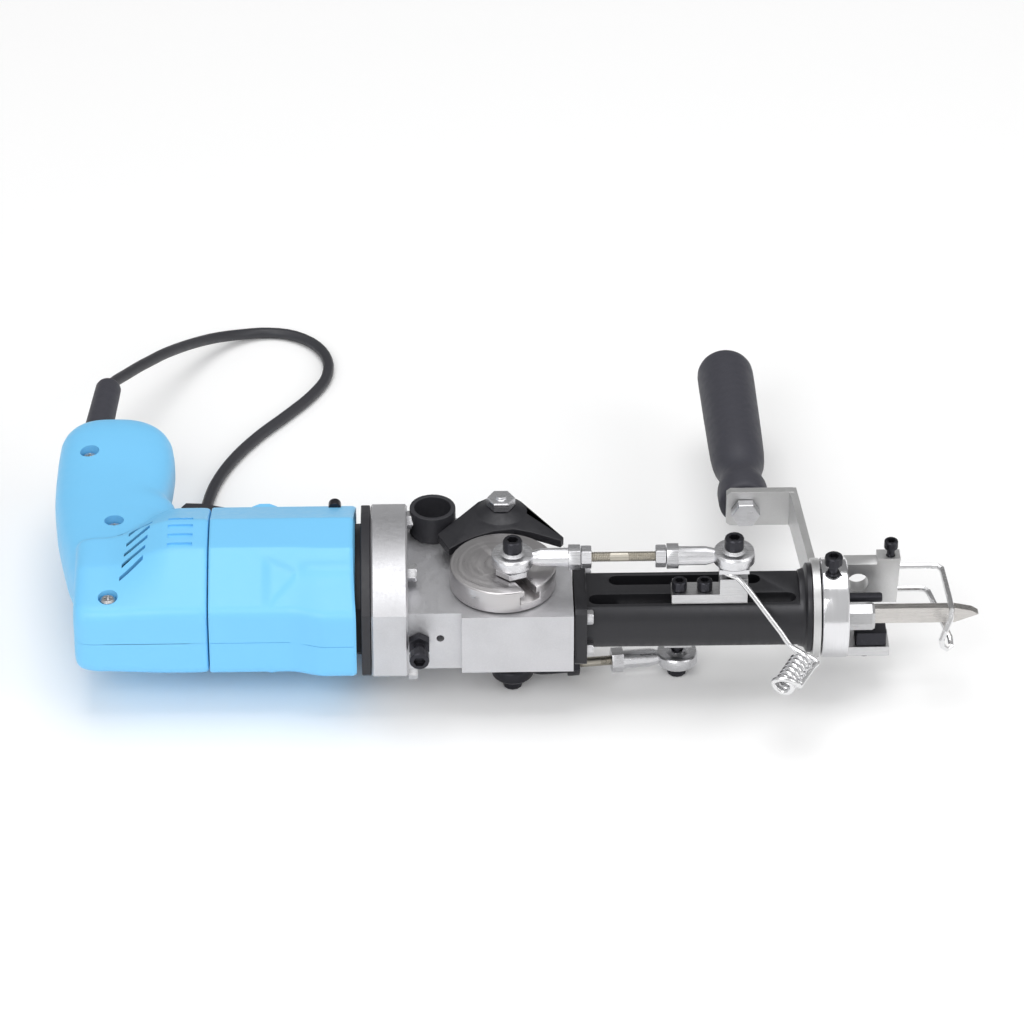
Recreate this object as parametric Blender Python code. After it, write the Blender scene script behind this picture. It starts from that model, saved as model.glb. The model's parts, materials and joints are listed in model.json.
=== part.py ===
"""Electric carpet tufting gun, lying on its right-hand side.

Lengths below are millimetres in the gun's own axes: X forward along the barrel, Y towards the ends of the
handles, Z across the gun, with the barrel and the crank shaft crossing at 0, 0, 0. The empty "tufting_gun"
lifts all of it so that the gun rests on the floor and its box is centred on the world's origin.
"""

import math

import bmesh
import bpy
from mathutils import Matrix, Vector

MM = 0.001
GAP = 0.3  # clearance between touching pieces

# Where the gun's own origin sits in the world
DATUM = (-4.65, -78.84, 45.0)
FLOOR_Z = -45.0

# Driving dimensions
MOTOR_Y = 20.0  # the motor shaft passes this far below the crank shaft
NEEDLE_Y = -8.0  # needle line, and the looper line mirrors it
LOOPER_Y = 8.0
BARREL_R = 19.2
BARREL_FLAT_Z = 12.2
BARREL_START, BARREL_END = 35.3, 171.0
BAR_R = 5.0
BLOCK_HALF = 16.7  # half thickness of the gearbox block
GUARD_Y, GUARD_SEAT = 47.6, 23.2
DISC_R = 26.5
DISC_BOTTOM, DISC_TOP = 17.2, 29.2
NEEDLE_ROD_Z = 38.0
LOOPER_ROD_Z = -34.4
CRANK_PIN = (4.7, NEEDLE_Y)
WRIST_X = 114.4
LOOPER_PIN = (4.9, -1.0)
LOOPER_WRIST_X = 88.0
EYE_R = 10.5
EYE_HALF = 4.5  # half width of a rod end's ball
COLLAR_R = 25.0
HOUSING_BACK, HOUSING_FRONT = -146.3, -73.0
SHELL_BACK = -212.5
WALL = 3.0
TRIGGER_PIVOT = (-120.0, 74.4)
GEAR_TEETH = 24
WORM_STARTS = 2
GEAR_MODULE = 1.25
CORD_R = 3.0
COIL_CENTRE = (-112.0, 94.0)
COIL_TURNS = 4  # turns in each of two layers
COIL_MEAN_R = 33.0
CORD_PITCH = 6.15

BLUE = (0.16, 0.52, 0.84)
BLACK = (0.025, 0.026, 0.03)
GRAPHITE = (0.06, 0.06, 0.065)
CAST = (0.5, 0.5, 0.52)
STEEL = (0.62, 0.62, 0.6)
CHROME = (0.8, 0.8, 0.8)
COPPER = (0.7, 0.36, 0.18)

for old in list(bpy.data.objects):
    bpy.data.objects.remove(old)


# ---------------------------------------------------------------- helpers


def empty(name, location, parent=None):
    """An empty, at a place in the gun's own axes."""
    made = bpy.data.objects.new(name, None)
    bpy.context.scene.collection.objects.link(made)
    made.location = [v * MM for v in location]
    if parent:
        made.parent = parent
    made["place"] = list(location)
    return made


ROOT = empty("tufting_gun", DATUM)
FRAME = empty("frame_datum", (0, 0, 0), ROOT)
ARMATURE = empty("armature_axis", (0, MOTOR_Y, 0), ROOT)
CRANK = empty("crank_axis", (0, 0, 0), ROOT)
NEEDLE = empty("needle_slide_axis", (WRIST_X, NEEDLE_Y, 0), ROOT)
NEEDLE_ROD = empty("needle_rod_axis", (WRIST_X, NEEDLE_Y, 0), ROOT)
LOOPER = empty("looper_slide_axis", (LOOPER_WRIST_X, LOOPER_Y, 0), ROOT)
LOOPER_ROD = empty("looper_rod_axis", (LOOPER_WRIST_X, LOOPER_Y, 0), ROOT)
TRIGGER = empty("trigger_axis", (*TRIGGER_PIVOT, 0), ROOT)
FOOT = empty("foot_axis", (195, 25.5, 0), ROOT)
HANDLE = empty("handle_swivel_axis", (156, 0, 0), ROOT)


def material(name, colour, roughness, metallic):
    made = bpy.data.materials.get(name)
    if made is None:
        made = bpy.data.materials.new(name)
        made.use_nodes = True
        shader = made.node_tree.nodes["Principled BSDF"]
        shader.inputs["Base Color"].default_value = (*colour, 1.0)
        shader.inputs["Roughness"].default_value = roughness
        shader.inputs["Metallic"].default_value = metallic
    return made


def keep(name, data, parent, look):
    """Links a mesh or curve, made in the gun's own millimetres, under its joint's empty."""
    made = bpy.data.objects.new(name, data)
    bpy.context.scene.collection.objects.link(made)
    place = Vector(parent["place"])
    data.transform(Matrix.Scale(MM, 4) @ Matrix.Translation(-place))
    made.parent = parent
    if look is None:
        made.hide_render = True
        made.display_type = "WIRE"
    else:
        data.materials.append(material(name + "_finish", *look))
    return made


def mesh_object(name, bm, parent, look):
    bmesh.ops.recalc_face_normals(bm, faces=bm.faces)
    data = bpy.data.meshes.new(name)
    bm.to_mesh(data)
    bm.free()
    data.shade_smooth()
    data.set_sharp_from_angle(angle=math.radians(35))
    return keep(name, data, parent, look)


def loft(name, rings, parent, look, closed=False):
    """Skins rings with equal numbers of points. The ends are capped unless the last ring joins the first."""
    bm = bmesh.new()
    loops = [[bm.verts.new(point) for point in ring] for ring in rings]
    pairs = list(zip(loops, loops[1:]))
    if closed:
        pairs.append((loops[-1], loops[0]))
    else:
        bm.faces.new(loops[0])
        bm.faces.new(loops[-1])
    count = len(loops[0])
    for first, second in pairs:
        for i in range(count):
            j = (i + 1) % count
            bm.faces.new((first[i], first[j], second[j], second[i]))
    return mesh_object(name, bm, parent, look)


def on_axis(axis, centre, along, across):
    """A point along an axis through centre, and across it in the order of the other two axes."""
    a, b = across
    x, y, z = centre
    if axis == "X":
        return (x + along, y + a, z + b)
    if axis == "Y":
        return (x + a, y + along, z + b)
    return (x + a, y + b, z + along)


def circle(radius, sides):
    turns = [2 * math.pi * i / sides for i in range(sides)]
    return [(radius * math.cos(t), radius * math.sin(t)) for t in turns]


def hexagon(across_flats, corner_first=True, twist=0.0):
    """A hexagon of twelve points, on its corners and the middles of its flats."""
    corner_r, flat_r = across_flats / math.sqrt(3), across_flats / 2
    points = []
    for i in range(12):
        turn = math.pi * i / 6 + twist
        radius = corner_r if (i % 2 == 0) == corner_first else flat_r
        points.append((radius * math.cos(turn), radius * math.sin(turn)))
    return points


def stack(name, axis, centre, layers, parent, look, closed=False):
    """A loft of flat outlines, each given as (distance along the axis, outline)."""
    rings = [[on_axis(axis, centre, along, p) for p in outline] for along, outline in layers]
    return loft(name, rings, parent, look, closed)


def turned(name, axis, centre, profile, parent, look, sides=24, closed=False):
    """A turned piece: profile holds (distance along the axis, radius)."""
    layers = [(along, circle(radius, sides)) for along, radius in profile]
    return stack(name, axis, centre, layers, parent, look, closed)


def prism(name, axis, outline, start, end, parent, look):
    return stack(name, axis, (0, 0, 0), [(start, outline), (end, outline)], parent, look)


def box(name, low, high, parent, look):
    outline = [(low[0], low[1]), (high[0], low[1]), (high[0], high[1]), (low[0], high[1])]
    return prism(name, "Z", outline, low[2], high[2], parent, look)


def boolean(target, tool, operation="DIFFERENCE"):
    modifier = target.modifiers.new(tool.name, "BOOLEAN")
    modifier.operation = operation
    modifier.object = tool
    return target


def cut(target, *tools):
    for tool in tools:
        boolean(target, tool)
    return target


def join(target, *tools):
    for tool in tools:
        boolean(target, tool, "UNION")
    return target


def wire(name, points, radius, parent, look, resolution=2):
    """A round wire or cord through points, with filled ends."""
    data = bpy.data.curves.new(name, "CURVE")
    data.dimensions = "3D"
    data.bevel_resolution = resolution
    data.use_fill_caps = True
    data.twist_mode = "MINIMUM"
    spline = data.splines.new("POLY")
    spline.points.add(len(points) - 1)
    for target, point in zip(spline.points, points):
        target.co = (*point, 1.0)
    made = keep(name, data, parent, look)
    for point in spline.points:
        point.radius = 1.0
    data.bevel_depth = radius * MM
    return made


def smooth_line(points, step):
    """Points a step apart on a Catmull-Rom curve through the given ones."""
    ends = [2 * Vector(points[0]) - Vector(points[1])]
    through = ends + [Vector(p) for p in points]
    through.append(2 * Vector(points[-1]) - Vector(points[-2]))
    fine = []
    for a, b, c, d in zip(through, through[1:], through[2:], through[3:]):
        for i in range(24):
            t = i / 24
            fine.append(
                0.5 * (2 * b + (c - a) * t + (2 * a - 5 * b + 4 * c - d) * t**2
                       + (3 * b - a - 3 * c + d) * t**3)
            )
    fine.append(through[-2])
    length = sum((q - p).length for p, q in zip(fine, fine[1:]))
    spacing = length / round(length / step)
    line, walked = [fine[0]], 0.0
    for p, q in zip(fine, fine[1:]):
        walked += (q - p).length
        if walked >= spacing:
            line.append(q)
            walked = 0.0
    line[-1] = fine[-1]
    return [tuple(p) for p in line]


def socket_screw(name, axis, centre, up, head_r, head_h, shank_r, reach, parent, look):
    """A socket head cap screw: centre is under its head, up is +1 or -1 along the axis."""
    sides = 12
    rings = [
        (head_h * 0.45, hexagon(head_r)),
        (head_h, hexagon(head_r)),
        (head_h, circle(head_r * 0.88, sides)),
        (head_h * 0.88, circle(head_r, sides)),
        (0, circle(head_r, sides)),
        (0, circle(shank_r, sides)),
        (-reach, circle(shank_r, sides)),
    ]
    return stack(name, axis, centre, [(up * a, ring) for a, ring in rings], parent, look)


def hex_nut(name, axis, centre, width, thickness, bore_r, parent, look, twist=0.0):
    half = thickness / 2
    rings = [
        (-half, hexagon(width * 0.96, True, twist)),
        (-half * 0.8, hexagon(width, True, twist)),
        (half * 0.8, hexagon(width, True, twist)),
        (half, hexagon(width * 0.96, True, twist)),
        (half, circle(bore_r, 12)),
        (-half, circle(bore_r, 12)),
    ]
    return stack(name, axis, centre, rings, parent, look, closed=True)


# ---------------------------------------------------------------- motor housing and grip


def body_section(grow=0.0, flare=0.0):
    """The motor housing's outline across the gun, (Y, Z), going once round."""
    half = [
        (-24.7 - flare, 18.0),
        (-18.0 - flare * 0.6, 24.6),
        (-6.0, 30.4),
        (9.3, 34.3),
        (34.7, 34.3),
        (54.0, 28.6),
        (68.7, 17.0),
    ]
    centre = 22.0
    half = [
        (centre + (y - centre) * (1 + grow / 46.7), z * (1 + grow / 34.3)) for y, z in half
    ]
    return half + [(y, -z) for y, z in reversed(half)]


def motor_housing():
    layers = [
        (HOUSING_BACK, body_section(-0.6)),
        (HOUSING_BACK + 2, body_section()),
        (-104, body_section()),
        (-88, body_section(flare=4.5)),
        (HOUSING_FRONT - 1.5, body_section(flare=4.5)),
        (HOUSING_FRONT, body_section(-1.0, 4.5)),
        (HOUSING_FRONT, body_section(-WALL, 4.5)),
        (HOUSING_BACK, body_section(-WALL)),
    ]
    housing = stack("motor_housing", "X", (0, 0, 0), layers, FRAME, (BLUE, 0.45, 0.0), True)
    x, y = TRIGGER_PIVOT
    lug = [(x - 8, 66), (x + 8, 66), (x + 6, y + 4), (x + 2, y + 6), (x - 2, y + 6), (x - 6, y + 4)]
    for side in (-1, 1):
        join(housing, prism(f"trigger_cheek_{side}", "Z", lug, side * 8, side * 11.5, FRAME, None))
    hole = turned("trigger_pivot_hole", "Z", (x, y, 0), [(-14, 2.9), (14, 2.9)], FRAME, None, 12)
    return cut(housing, hole)


# (Y, rear X, front X, half thickness) of the grip, from the motor to its end
GRIP = [
    (-12, -207, -160, 17.0),
    (5, -212, -150, 20.0),
    (30, -219, -149, 19.5),
    (55, -223.5, -152, 18.5),
    (72, -226, -163, 17.5),
    (84, -227.2, -165.5, 17.0),
    (95, -228, -170, 16.6),
    (110, -228.2, -168.6, 16.4),
    (124, -228.0, -167.4, 16.6),
    (140, -227.4, -168.4, 16.6),
    (151, -225.0, -172.0, 15.6),
    (157, -220.5, -178.0, 13.8),
    (160.5, -214.0, -186.0, 11.0),
]


def grip_rings(inset=0.0):
    """Half outlines of the grip, from the split plane out to +Z."""
    rings = []
    for y, rear, front, half in GRIP:
        middle, reach = (rear + front) / 2, (front - rear) / 2 - inset
        ring = []
        for i in range(13):
            turn = math.pi * i / 12
            across = math.copysign(abs(math.cos(turn)) ** 0.7, math.cos(turn))
            out = math.sin(turn) ** 0.6 if 0 < i < 12 else 0.0
            ring.append((middle + reach * across, y, max(half - inset, 2.0) * out))
        rings.append(ring)
    return rings


def flipped(rings, side):
    """Rings moved off the split plane by half a gap, on the chosen side."""
    return [[(x, y, side * (z + GAP / 2)) for x, y, z in ring] for ring in rings]


# X and Y of each shell screw, the height of its seat and the height its pillar needs to reach the wall
SCREW_PLACES = {
    "end": (-210.9, 124.2, 10.0, 15.0),
    "middle": (-195.6, 57.0, 12.0, 17.0),
    "rear": (-196.0, -13.0, 17.0, 25.5),
}


def half_section(grow, shrink=1.0):
    """Half of the housing outline as (Y, Z) with Z of 0 or more, scaled about the motor's middle."""
    whole = [(y, z) for y, z in body_section(grow) if z > 0]
    points = [(whole[0][0], 0.0)] + whole + [(whole[-1][0], 0.0)]
    return [(22 + (y - 22) * shrink, z * shrink) for y, z in points]


def handle_shell(side, label):
    """One half of the rear housing and grip, split on the gun's middle plane."""
    name = f"handle_shell_{label}"
    back = [
        (SHELL_BACK, 0, 0.84),
        (SHELL_BACK + 2.5, 0, 0.93),
        (SHELL_BACK + 7.5, 0, 0.985),
        (SHELL_BACK + 14, 0, 1.0),
        (HOUSING_BACK - GAP, 0, 1.0),
    ]
    rings = [[(x, y, z) for y, z in half_section(grow, size)] for x, grow, size in back]
    shell = loft(name, flipped(rings, side), FRAME, (BLUE, 0.45, 0.0))
    grip = loft(f"grip_half_{label}", flipped(grip_rings(), side), FRAME, None)
    join(shell, grip)
    hollow = [
        [(x, y, z - 0.5) for y, z in half_section(-WALL)] for x in (SHELL_BACK + 9, HOUSING_BACK + 1)
    ]
    inside = [[(x, y, z - 0.5) for x, y, z in ring] for ring in grip_rings(WALL)[2:-1]]
    cut(
        shell,
        loft(f"motor_hollow_{label}", flipped(hollow, side), FRAME, None),
        loft(f"grip_hollow_{label}", flipped(inside, side), FRAME, None),
    )
    mouth = turned(
        f"cord_mouth_{label}", "Y", (-210.0, 0, 0), [(147, 6.6), (164, 6.6)], FRAME, None, 16
    )
    cut(shell, mouth)
    for key, (x, y, seat, top) in SCREW_PLACES.items():
        pillar = turned(
            f"pillar_{key}_{label}", "Z", (x, y, 0),
            [(side * GAP / 2, 7.0), (side * top, 7.0)], FRAME, None, 12,
        )
        bore = turned(
            f"bore_{key}_{label}", "Z", (x, y, 0),
            [(-side, 2.2), (side * seat, 2.2), (side * seat, 5.0), (side * 40, 5.0)],
            FRAME, None, 16,
        )
        join(shell, pillar)
        if side > 0:
            cut(shell, bore)
    if side > 0:
        for key, (x, y, seat, _) in SCREW_PLACES.items():
            shell_screw(key, x, y, seat)
    return shell


def shell_screw(key, x, y, seat):
    """A pan head screw with a cross recess, at the bottom of its counterbore."""
    arm, core = 1.9, 0.7
    cross = [
        (arm, core * 0.6), (core, core * 0.8), (core * 0.6, arm), (-core * 0.6, arm),
        (-core, core * 0.8), (-arm, core * 0.6), (-arm, -core * 0.6), (-core, -core * 0.8),
        (-core * 0.6, -arm), (core * 0.6, -arm), (core, -core * 0.8), (arm, -core * 0.6),
    ]
    layers = [
        (1.4, cross), (3.0, cross), (3.0, circle(2.9, 12)), (2.2, circle(3.9, 12)),
        (GAP, circle(4.1, 12)), (GAP, circle(1.6, 12)), (-seat + 1.5, circle(1.6, 12)),
    ]
    stack(f"shell_screw_{key}", "Z", (x, y, seat), layers, FRAME, (GRAPHITE, 0.35, 0.9))


def trigger():
    """A lever trigger hinged at its front end, with trunnions held between the housing's cheeks."""
    side_view = [
        (-115.5, 70.2), (-114, 73.5), (-117, 78.4), (-126, 81.2), (-140, 84.2), (-152, 88.0),
        (-160.5, 88.6), (-162.8, 85), (-161.6, 78), (-154, 73.8), (-140, 71.6), (-124, 69.6),
    ]
    lever = prism("trigger", "Z", side_view, -7.0, 7.0, TRIGGER, (BLACK, 0.5, 0.0))
    pivot = [(-11.0, 2.6), (11.0, 2.6)]
    join(lever, turned("trigger_trunnion", "Z", (*TRIGGER_PIVOT, 0), pivot, TRIGGER, None, 12))


def strain_relief():
    start, end = Vector((-210.6, 149.5, 0)), Vector((-205.0, 209.0, 0))
    run = (end - start).normalized()
    side = Vector((run.y, -run.x, 0))
    up = Vector((0, 0, 1))
    length = (end - start).length
    profile = [(0, 5.8), (11.6, 5.8), (12.2, 7.4), (19, 7.4), (length - 1.4, 6.6), (length, 5.6)]
    rings = [
        [start + run * a + side * p + up * q for p, q in circle(r, 16)] for a, r in profile
    ]
    inner = [(length, CORD_R + GAP), (length - 14, CORD_R + GAP)]
    rings += [
        [start + run * a + side * p + up * q for p, q in circle(r, 16)] for a, r in inner
    ]
    return loft("strain_relief", rings, FRAME, (BLACK, 0.55, 0.0))


# ---------------------------------------------------------------- mains cord


CORD_ROUTE = [
    (-205.0, 209.3, 0.0), (-202.0, 218.0, -2.2), (-196.6, 230.0, -5.8), (-190.6, 243.0, -9.6),
    (-184.0, 256.0, -13.6), (-177.2, 269.1, -17.8), (-165.6, 290.0, -26.0), (-152.6, 309.0, -34.2),
    (-139.0, 321.0, -39.8), (-124.0, 326.0, -42.0), (-109.3, 322.8, -42.0), (-97.0, 312.6, -42.0),
    (-90.4, 297.0, -42.0), (-91.2, 279.0, -42.0), (-99.5, 261.0, -42.0), (-112.0, 243.0, -42.0),
    (-127.0, 223.0, -42.0), (-140.0, 201.0, -42.0), (-149.0, 178.0, -42.0), (-153.3, 155.0, -42.0),
    (-154.3, 136.0, -42.0), (-154.3, 117.8, -42.0),
]


def mains_cord():
    rubber = (BLACK, 0.5, 0.0)
    line = smooth_line(CORD_ROUTE, 14.0)
    wire("cord_lead", line, CORD_R, FRAME, rubber, resolution=2)
    inner = COIL_MEAN_R - COIL_TURNS * CORD_PITCH / 2
    outer = COIL_MEAN_R + COIL_TURNS * CORD_PITCH / 2
    top = FLOOR_Z + 2 * CORD_PITCH
    profile = [(FLOOR_Z, inner), (FLOOR_Z, outer), (top, outer), (top, inner)]
    turned("cord_coil", "Z", (*COIL_CENTRE, 0), profile, FRAME, rubber, 32, closed=True)
    plug()


def plug():
    """The cord's last bend off the coil and the two-pin plug moulded on it, lying flat on the floor."""
    bend_centre, bend_r = Vector((-72.5, 80.0, 0)), 20.0
    nose_x, nose_y = -52.5, 80.0

    def oval(at, side, half_width, half_height, middle_z):
        ring = []
        for i in range(16):
            turn = 2 * math.pi * i / 16
            rise = Vector((0, 0, middle_z + half_height * math.sin(turn)))
            ring.append(at + side * half_width * math.cos(turn) + rise)
        return ring

    rings = []
    for step in range(8):
        turn = math.radians(-102 * (1 - step / 7))
        out = Vector((math.cos(turn), math.sin(turn), 0))
        rings.append(oval(bend_centre + out * bend_r, out, CORD_R, CORD_R, FLOOR_Z + CORD_R))
    middle = FLOOR_Z + 8.0
    shape = [(3, 3.0, 3.0, -42), (4, 4.2, 3.0, -42), (12, 4.8, 3.0, -42), (15, 8.6, 6.4, -38.4),
             (18, 11.8, 7.8, middle), (31, 12.4, 8.0, middle), (34, 11.6, 7.2, middle)]
    across = Vector((1, 0, 0))
    for along, half_width, half_height, z in shape:
        rings.append(oval(Vector((nose_x, nose_y + along, 0)), across, half_width, half_height, z))
    body = loft("mains_plug", rings, FRAME, (BLACK, 0.5, 0.0))
    for n in (-1, 1):
        pin = [(nose_y + 30, circle(2.0, 10)), (nose_y + 50, circle(2.0, 10))]
        join(body, stack(f"plug_pin_{n}", "Y", (nose_x + n * 6.35, 0, middle), pin, FRAME, None))
    return body


# ---------------------------------------------------------------- motor inside


def motor():
    lams = (GRAPHITE, 0.5, 0.8)
    profile = [(-135, 21.2), (-135, 29.0), (-93, 29.0), (-93, 21.2)]
    turned("motor_stator", "X", (0, MOTOR_Y, 0), profile, FRAME, lams, 24, closed=True)
    core = [(-133, 4.3), (-133, 20.2), (-95, 20.2), (-95, 4.3)]
    turned("armature_core", "X", (0, MOTOR_Y, 0), core, ARMATURE, (COPPER, 0.4, 0.8), 24, True)
    blades = []
    for i in range(36):
        turn, radius = 2 * math.pi * i / 36, 24.0 if i % 3 else 13.0
        blades.append((radius * math.cos(turn), radius * math.sin(turn)))
    hub = circle(4.3, 36)
    fan = [(-91, blades), (-84, blades), (-84, hub), (-91, hub)]
    stack("cooling_fan", "X", (0, MOTOR_Y, 0), fan, ARMATURE, (BLACK, 0.5, 0.0), True)
    bearing = (STEEL, 0.25, 1.0)
    rear = [(-152, 4.3), (-152, 11), (-145, 11), (-145, 4.3)]
    turned("rear_motor_bearing", "X", (0, MOTOR_Y, 0), rear, FRAME, bearing, 20, True)
    front = [(-64.7, 5.3), (-64.7, 13.7), (-56.5, 13.7), (-56.5, 5.3)]
    turned("front_motor_bearing", "X", (0, MOTOR_Y, 0), front, FRAME, bearing, 20, True)


def armature_shaft():
    """The motor shaft with the worm cut on its front end."""
    starts, sides = WORM_STARTS, 20
    tip_r, root_r = 5.8, 3.7
    pitch = math.pi * GEAR_MODULE
    steps_per_pitch = 6
    worm_start, worm_end = -3 * pitch, 3 * pitch
    rings = [[on_axis("X", (0, MOTOR_Y, 0), x, p) for p in circle(r, sides)]
             for x, r in [(-156, 3.4), (-155.4, 4.0), (-70, 4.0), (-70, 5.0), (-20, 5.0), (-18, root_r)]]
    count = round((worm_end - worm_start) / pitch * steps_per_pitch)
    for n in range(count + 1):
        x = worm_start + (worm_end - worm_start) * n / count
        ring = []
        for i in range(sides):
            turn = 2 * math.pi * i / sides
            phase = (x / pitch - starts * turn / (2 * math.pi)) % 1.0
            height = max(0.0, min(1.0, 1.9 - 9.0 * abs(phase - 0.5)))
            fade = min(1.0, (count - n) / 5, n / 5)
            radius = root_r + (tip_r - root_r) * height * fade
            ring.append((x, MOTOR_Y + radius * math.cos(turn), radius * math.sin(turn)))
        rings.append(ring)
    rings += [[on_axis("X", (0, MOTOR_Y, 0), x, p) for p in circle(r, sides)]
              for x, r in [(14, root_r), (19.5, root_r)]]
    return loft("armature_shaft", rings, ARMATURE, (STEEL, 0.3, 1.0))


# ---------------------------------------------------------------- gearbox


def baffle():
    """The black plastic plate and spigot between the motor housing and the gearbox."""
    layers = [(-76.0, body_section(-9.0)), (-70.6, body_section(-9.0)),
              (-70.6, body_section(-0.4, 4.0)), (-66.0, body_section(-0.4, 4.0))]
    plate = stack("front_baffle", "X", (0, 0, 0), layers, FRAME, (BLACK, 0.6, 0.0))
    hole = turned("baffle_hole", "X", (0, MOTOR_Y, 0), [(-80, 8), (-60, 8)], FRAME, None, 20)
    return cut(plate, hole)


def gearbox():
    flange = [(-65.7, body_section(-1.0, 4.3)), (-64.7, body_section(0, 4.3)),
              (-48.4, body_section(0, 4.3)), (-47.4, body_section(-1.0, 4.3))]
    box_outline = [
        (-20.9, -29), (34.6, -29), (34.6, 29), (13, 29), (13, 57), (-50, 59), (-50, -25), (-20.9, -25),
    ]
    shell = stack("gearbox_housing", "X", (0, 0, 0), flange, FRAME, (CAST, 0.4, 1.0))
    block = prism("gear_block", "Z", box_outline, -BLOCK_HALF, BLOCK_HALF, FRAME, None)
    boss = turned("guard_pillar", "Z", (0, GUARD_Y, 0), [(10, 8.5), (GUARD_SEAT, 8.5)], FRAME, None, 20)
    join(shell, block, boss)
    wheel_room = turned("wheel_room", "Z", (0, 0, 0), [(-6.4, 17.4), (6.4, 17.4)], FRAME, None, 24)
    shaft_bore = turned("shaft_bore", "Z", (0, 0, 0), [(-20, 6.3), (20, 6.3)], FRAME, None, 20)
    worm_bore = turned("worm_bore", "X", (0, MOTOR_Y, 0), [(-52, 7.2), (21, 7.2)], FRAME, None, 20)
    bearing_seat = turned(
        "bearing_seat", "X", (0, MOTOR_Y, 0), [(-70, 14.0), (-56, 14.0), (-55.9, 8), (-51, 8)],
        FRAME, None, 20,
    )
    stop_hole = turned("stop_hole", "Y", (-42.0, 0, 0), [(-30, 3.3), (-12, 3.3)], FRAME, None, 12)
    oil_hole = turned("oil_hole", "Y", (-31.5, 0, 1.6), [(-30, 2.0), (-17, 2.0)], FRAME, None, 12)
    guard_hole = turned(
        "guard_hole", "Z", (0, GUARD_Y, 0), [(9, 3.4), (30, 3.4)], FRAME, None, 12
    )
    return cut(shell, wheel_room, shaft_bore, worm_bore, bearing_seat, stop_hole, oil_hole, guard_hole)


def worm_wheel():
    """Helical teeth, twisted to match the worm's lead."""
    pitch_r = GEAR_TEETH * GEAR_MODULE / 2
    tip_r, root_r = pitch_r + 0.9, pitch_r - 1.2
    half, bore_r = 5.6, 5.3
    lead = math.atan(WORM_STARTS * math.pi * GEAR_MODULE / (2 * math.pi * 5.0))
    tooth_turn = 2 * math.pi / GEAR_TEETH
    layers = []
    for level in (-1, 0, 1):
        z = half * level
        twist = z * math.tan(lead) / pitch_r
        outline = []
        for tooth in range(GEAR_TEETH):
            middle = tooth_turn * tooth + twist
            for share, radius in ((-0.24, root_r), (-0.09, tip_r), (0.09, tip_r), (0.24, root_r)):
                turn = middle + share * tooth_turn
                outline.append((radius * math.cos(turn), radius * math.sin(turn)))
        layers.append((z, outline))
    bore = circle(bore_r, GEAR_TEETH * 4)
    layers += [(half, bore), (-half, bore)]
    return stack("worm_wheel", "Z", (0, 0, 0), layers, CRANK, ((0.6, 0.42, 0.16), 0.35, 1.0), True)


def crank_parts():
    shaft = [(-25.0, 5.0), (28.8, 5.0)]
    turned("crankshaft", "Z", (0, 0, 0), shaft, CRANK, (STEEL, 0.3, 1.0), 20)
    steel = (STEEL, 0.3, 1.0)
    left = [(DISC_BOTTOM, 5.3), (DISC_BOTTOM, DISC_R - 0.5), (DISC_BOTTOM + 0.5, DISC_R),
            (DISC_TOP - 0.5, DISC_R), (DISC_TOP, DISC_R - 0.5), (DISC_TOP, 5.3)]
    disc = turned("crank_disc_left", "Z", (0, 0, 0), left, CRANK, steel, 40, True)
    out = Vector((CRANK_PIN[0], CRANK_PIN[1], 0)).normalized()
    side = Vector((-out.y, out.x, 0))

    def slot(name, half, near, far, low, high):
        corners = [out * near - side * half, out * far - side * half, out * far + side * half,
                   out * near + side * half]
        rings = [[(c.x, c.y, z) for c in corners] for z in (low, high)]
        return loft(name, rings, CRANK, None)

    cut(disc, slot("crank_slot_wide", 5.6, 6.6, 30, DISC_TOP - 7.4, DISC_TOP - 3.6),
        slot("crank_slot_neck", 3.4, 6.6, 30, DISC_TOP - 4.0, DISC_TOP + 1))
    right = [(-17.2, 5.3), (-17.2, 15.0), (-17.7, 15.5), (-24.7, 15.5), (-25.2, 15.0), (-25.2, 5.3)]
    turned("crank_disc_right", "Z", (0, 0, 0), right, CRANK, steel, 28, True)


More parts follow.
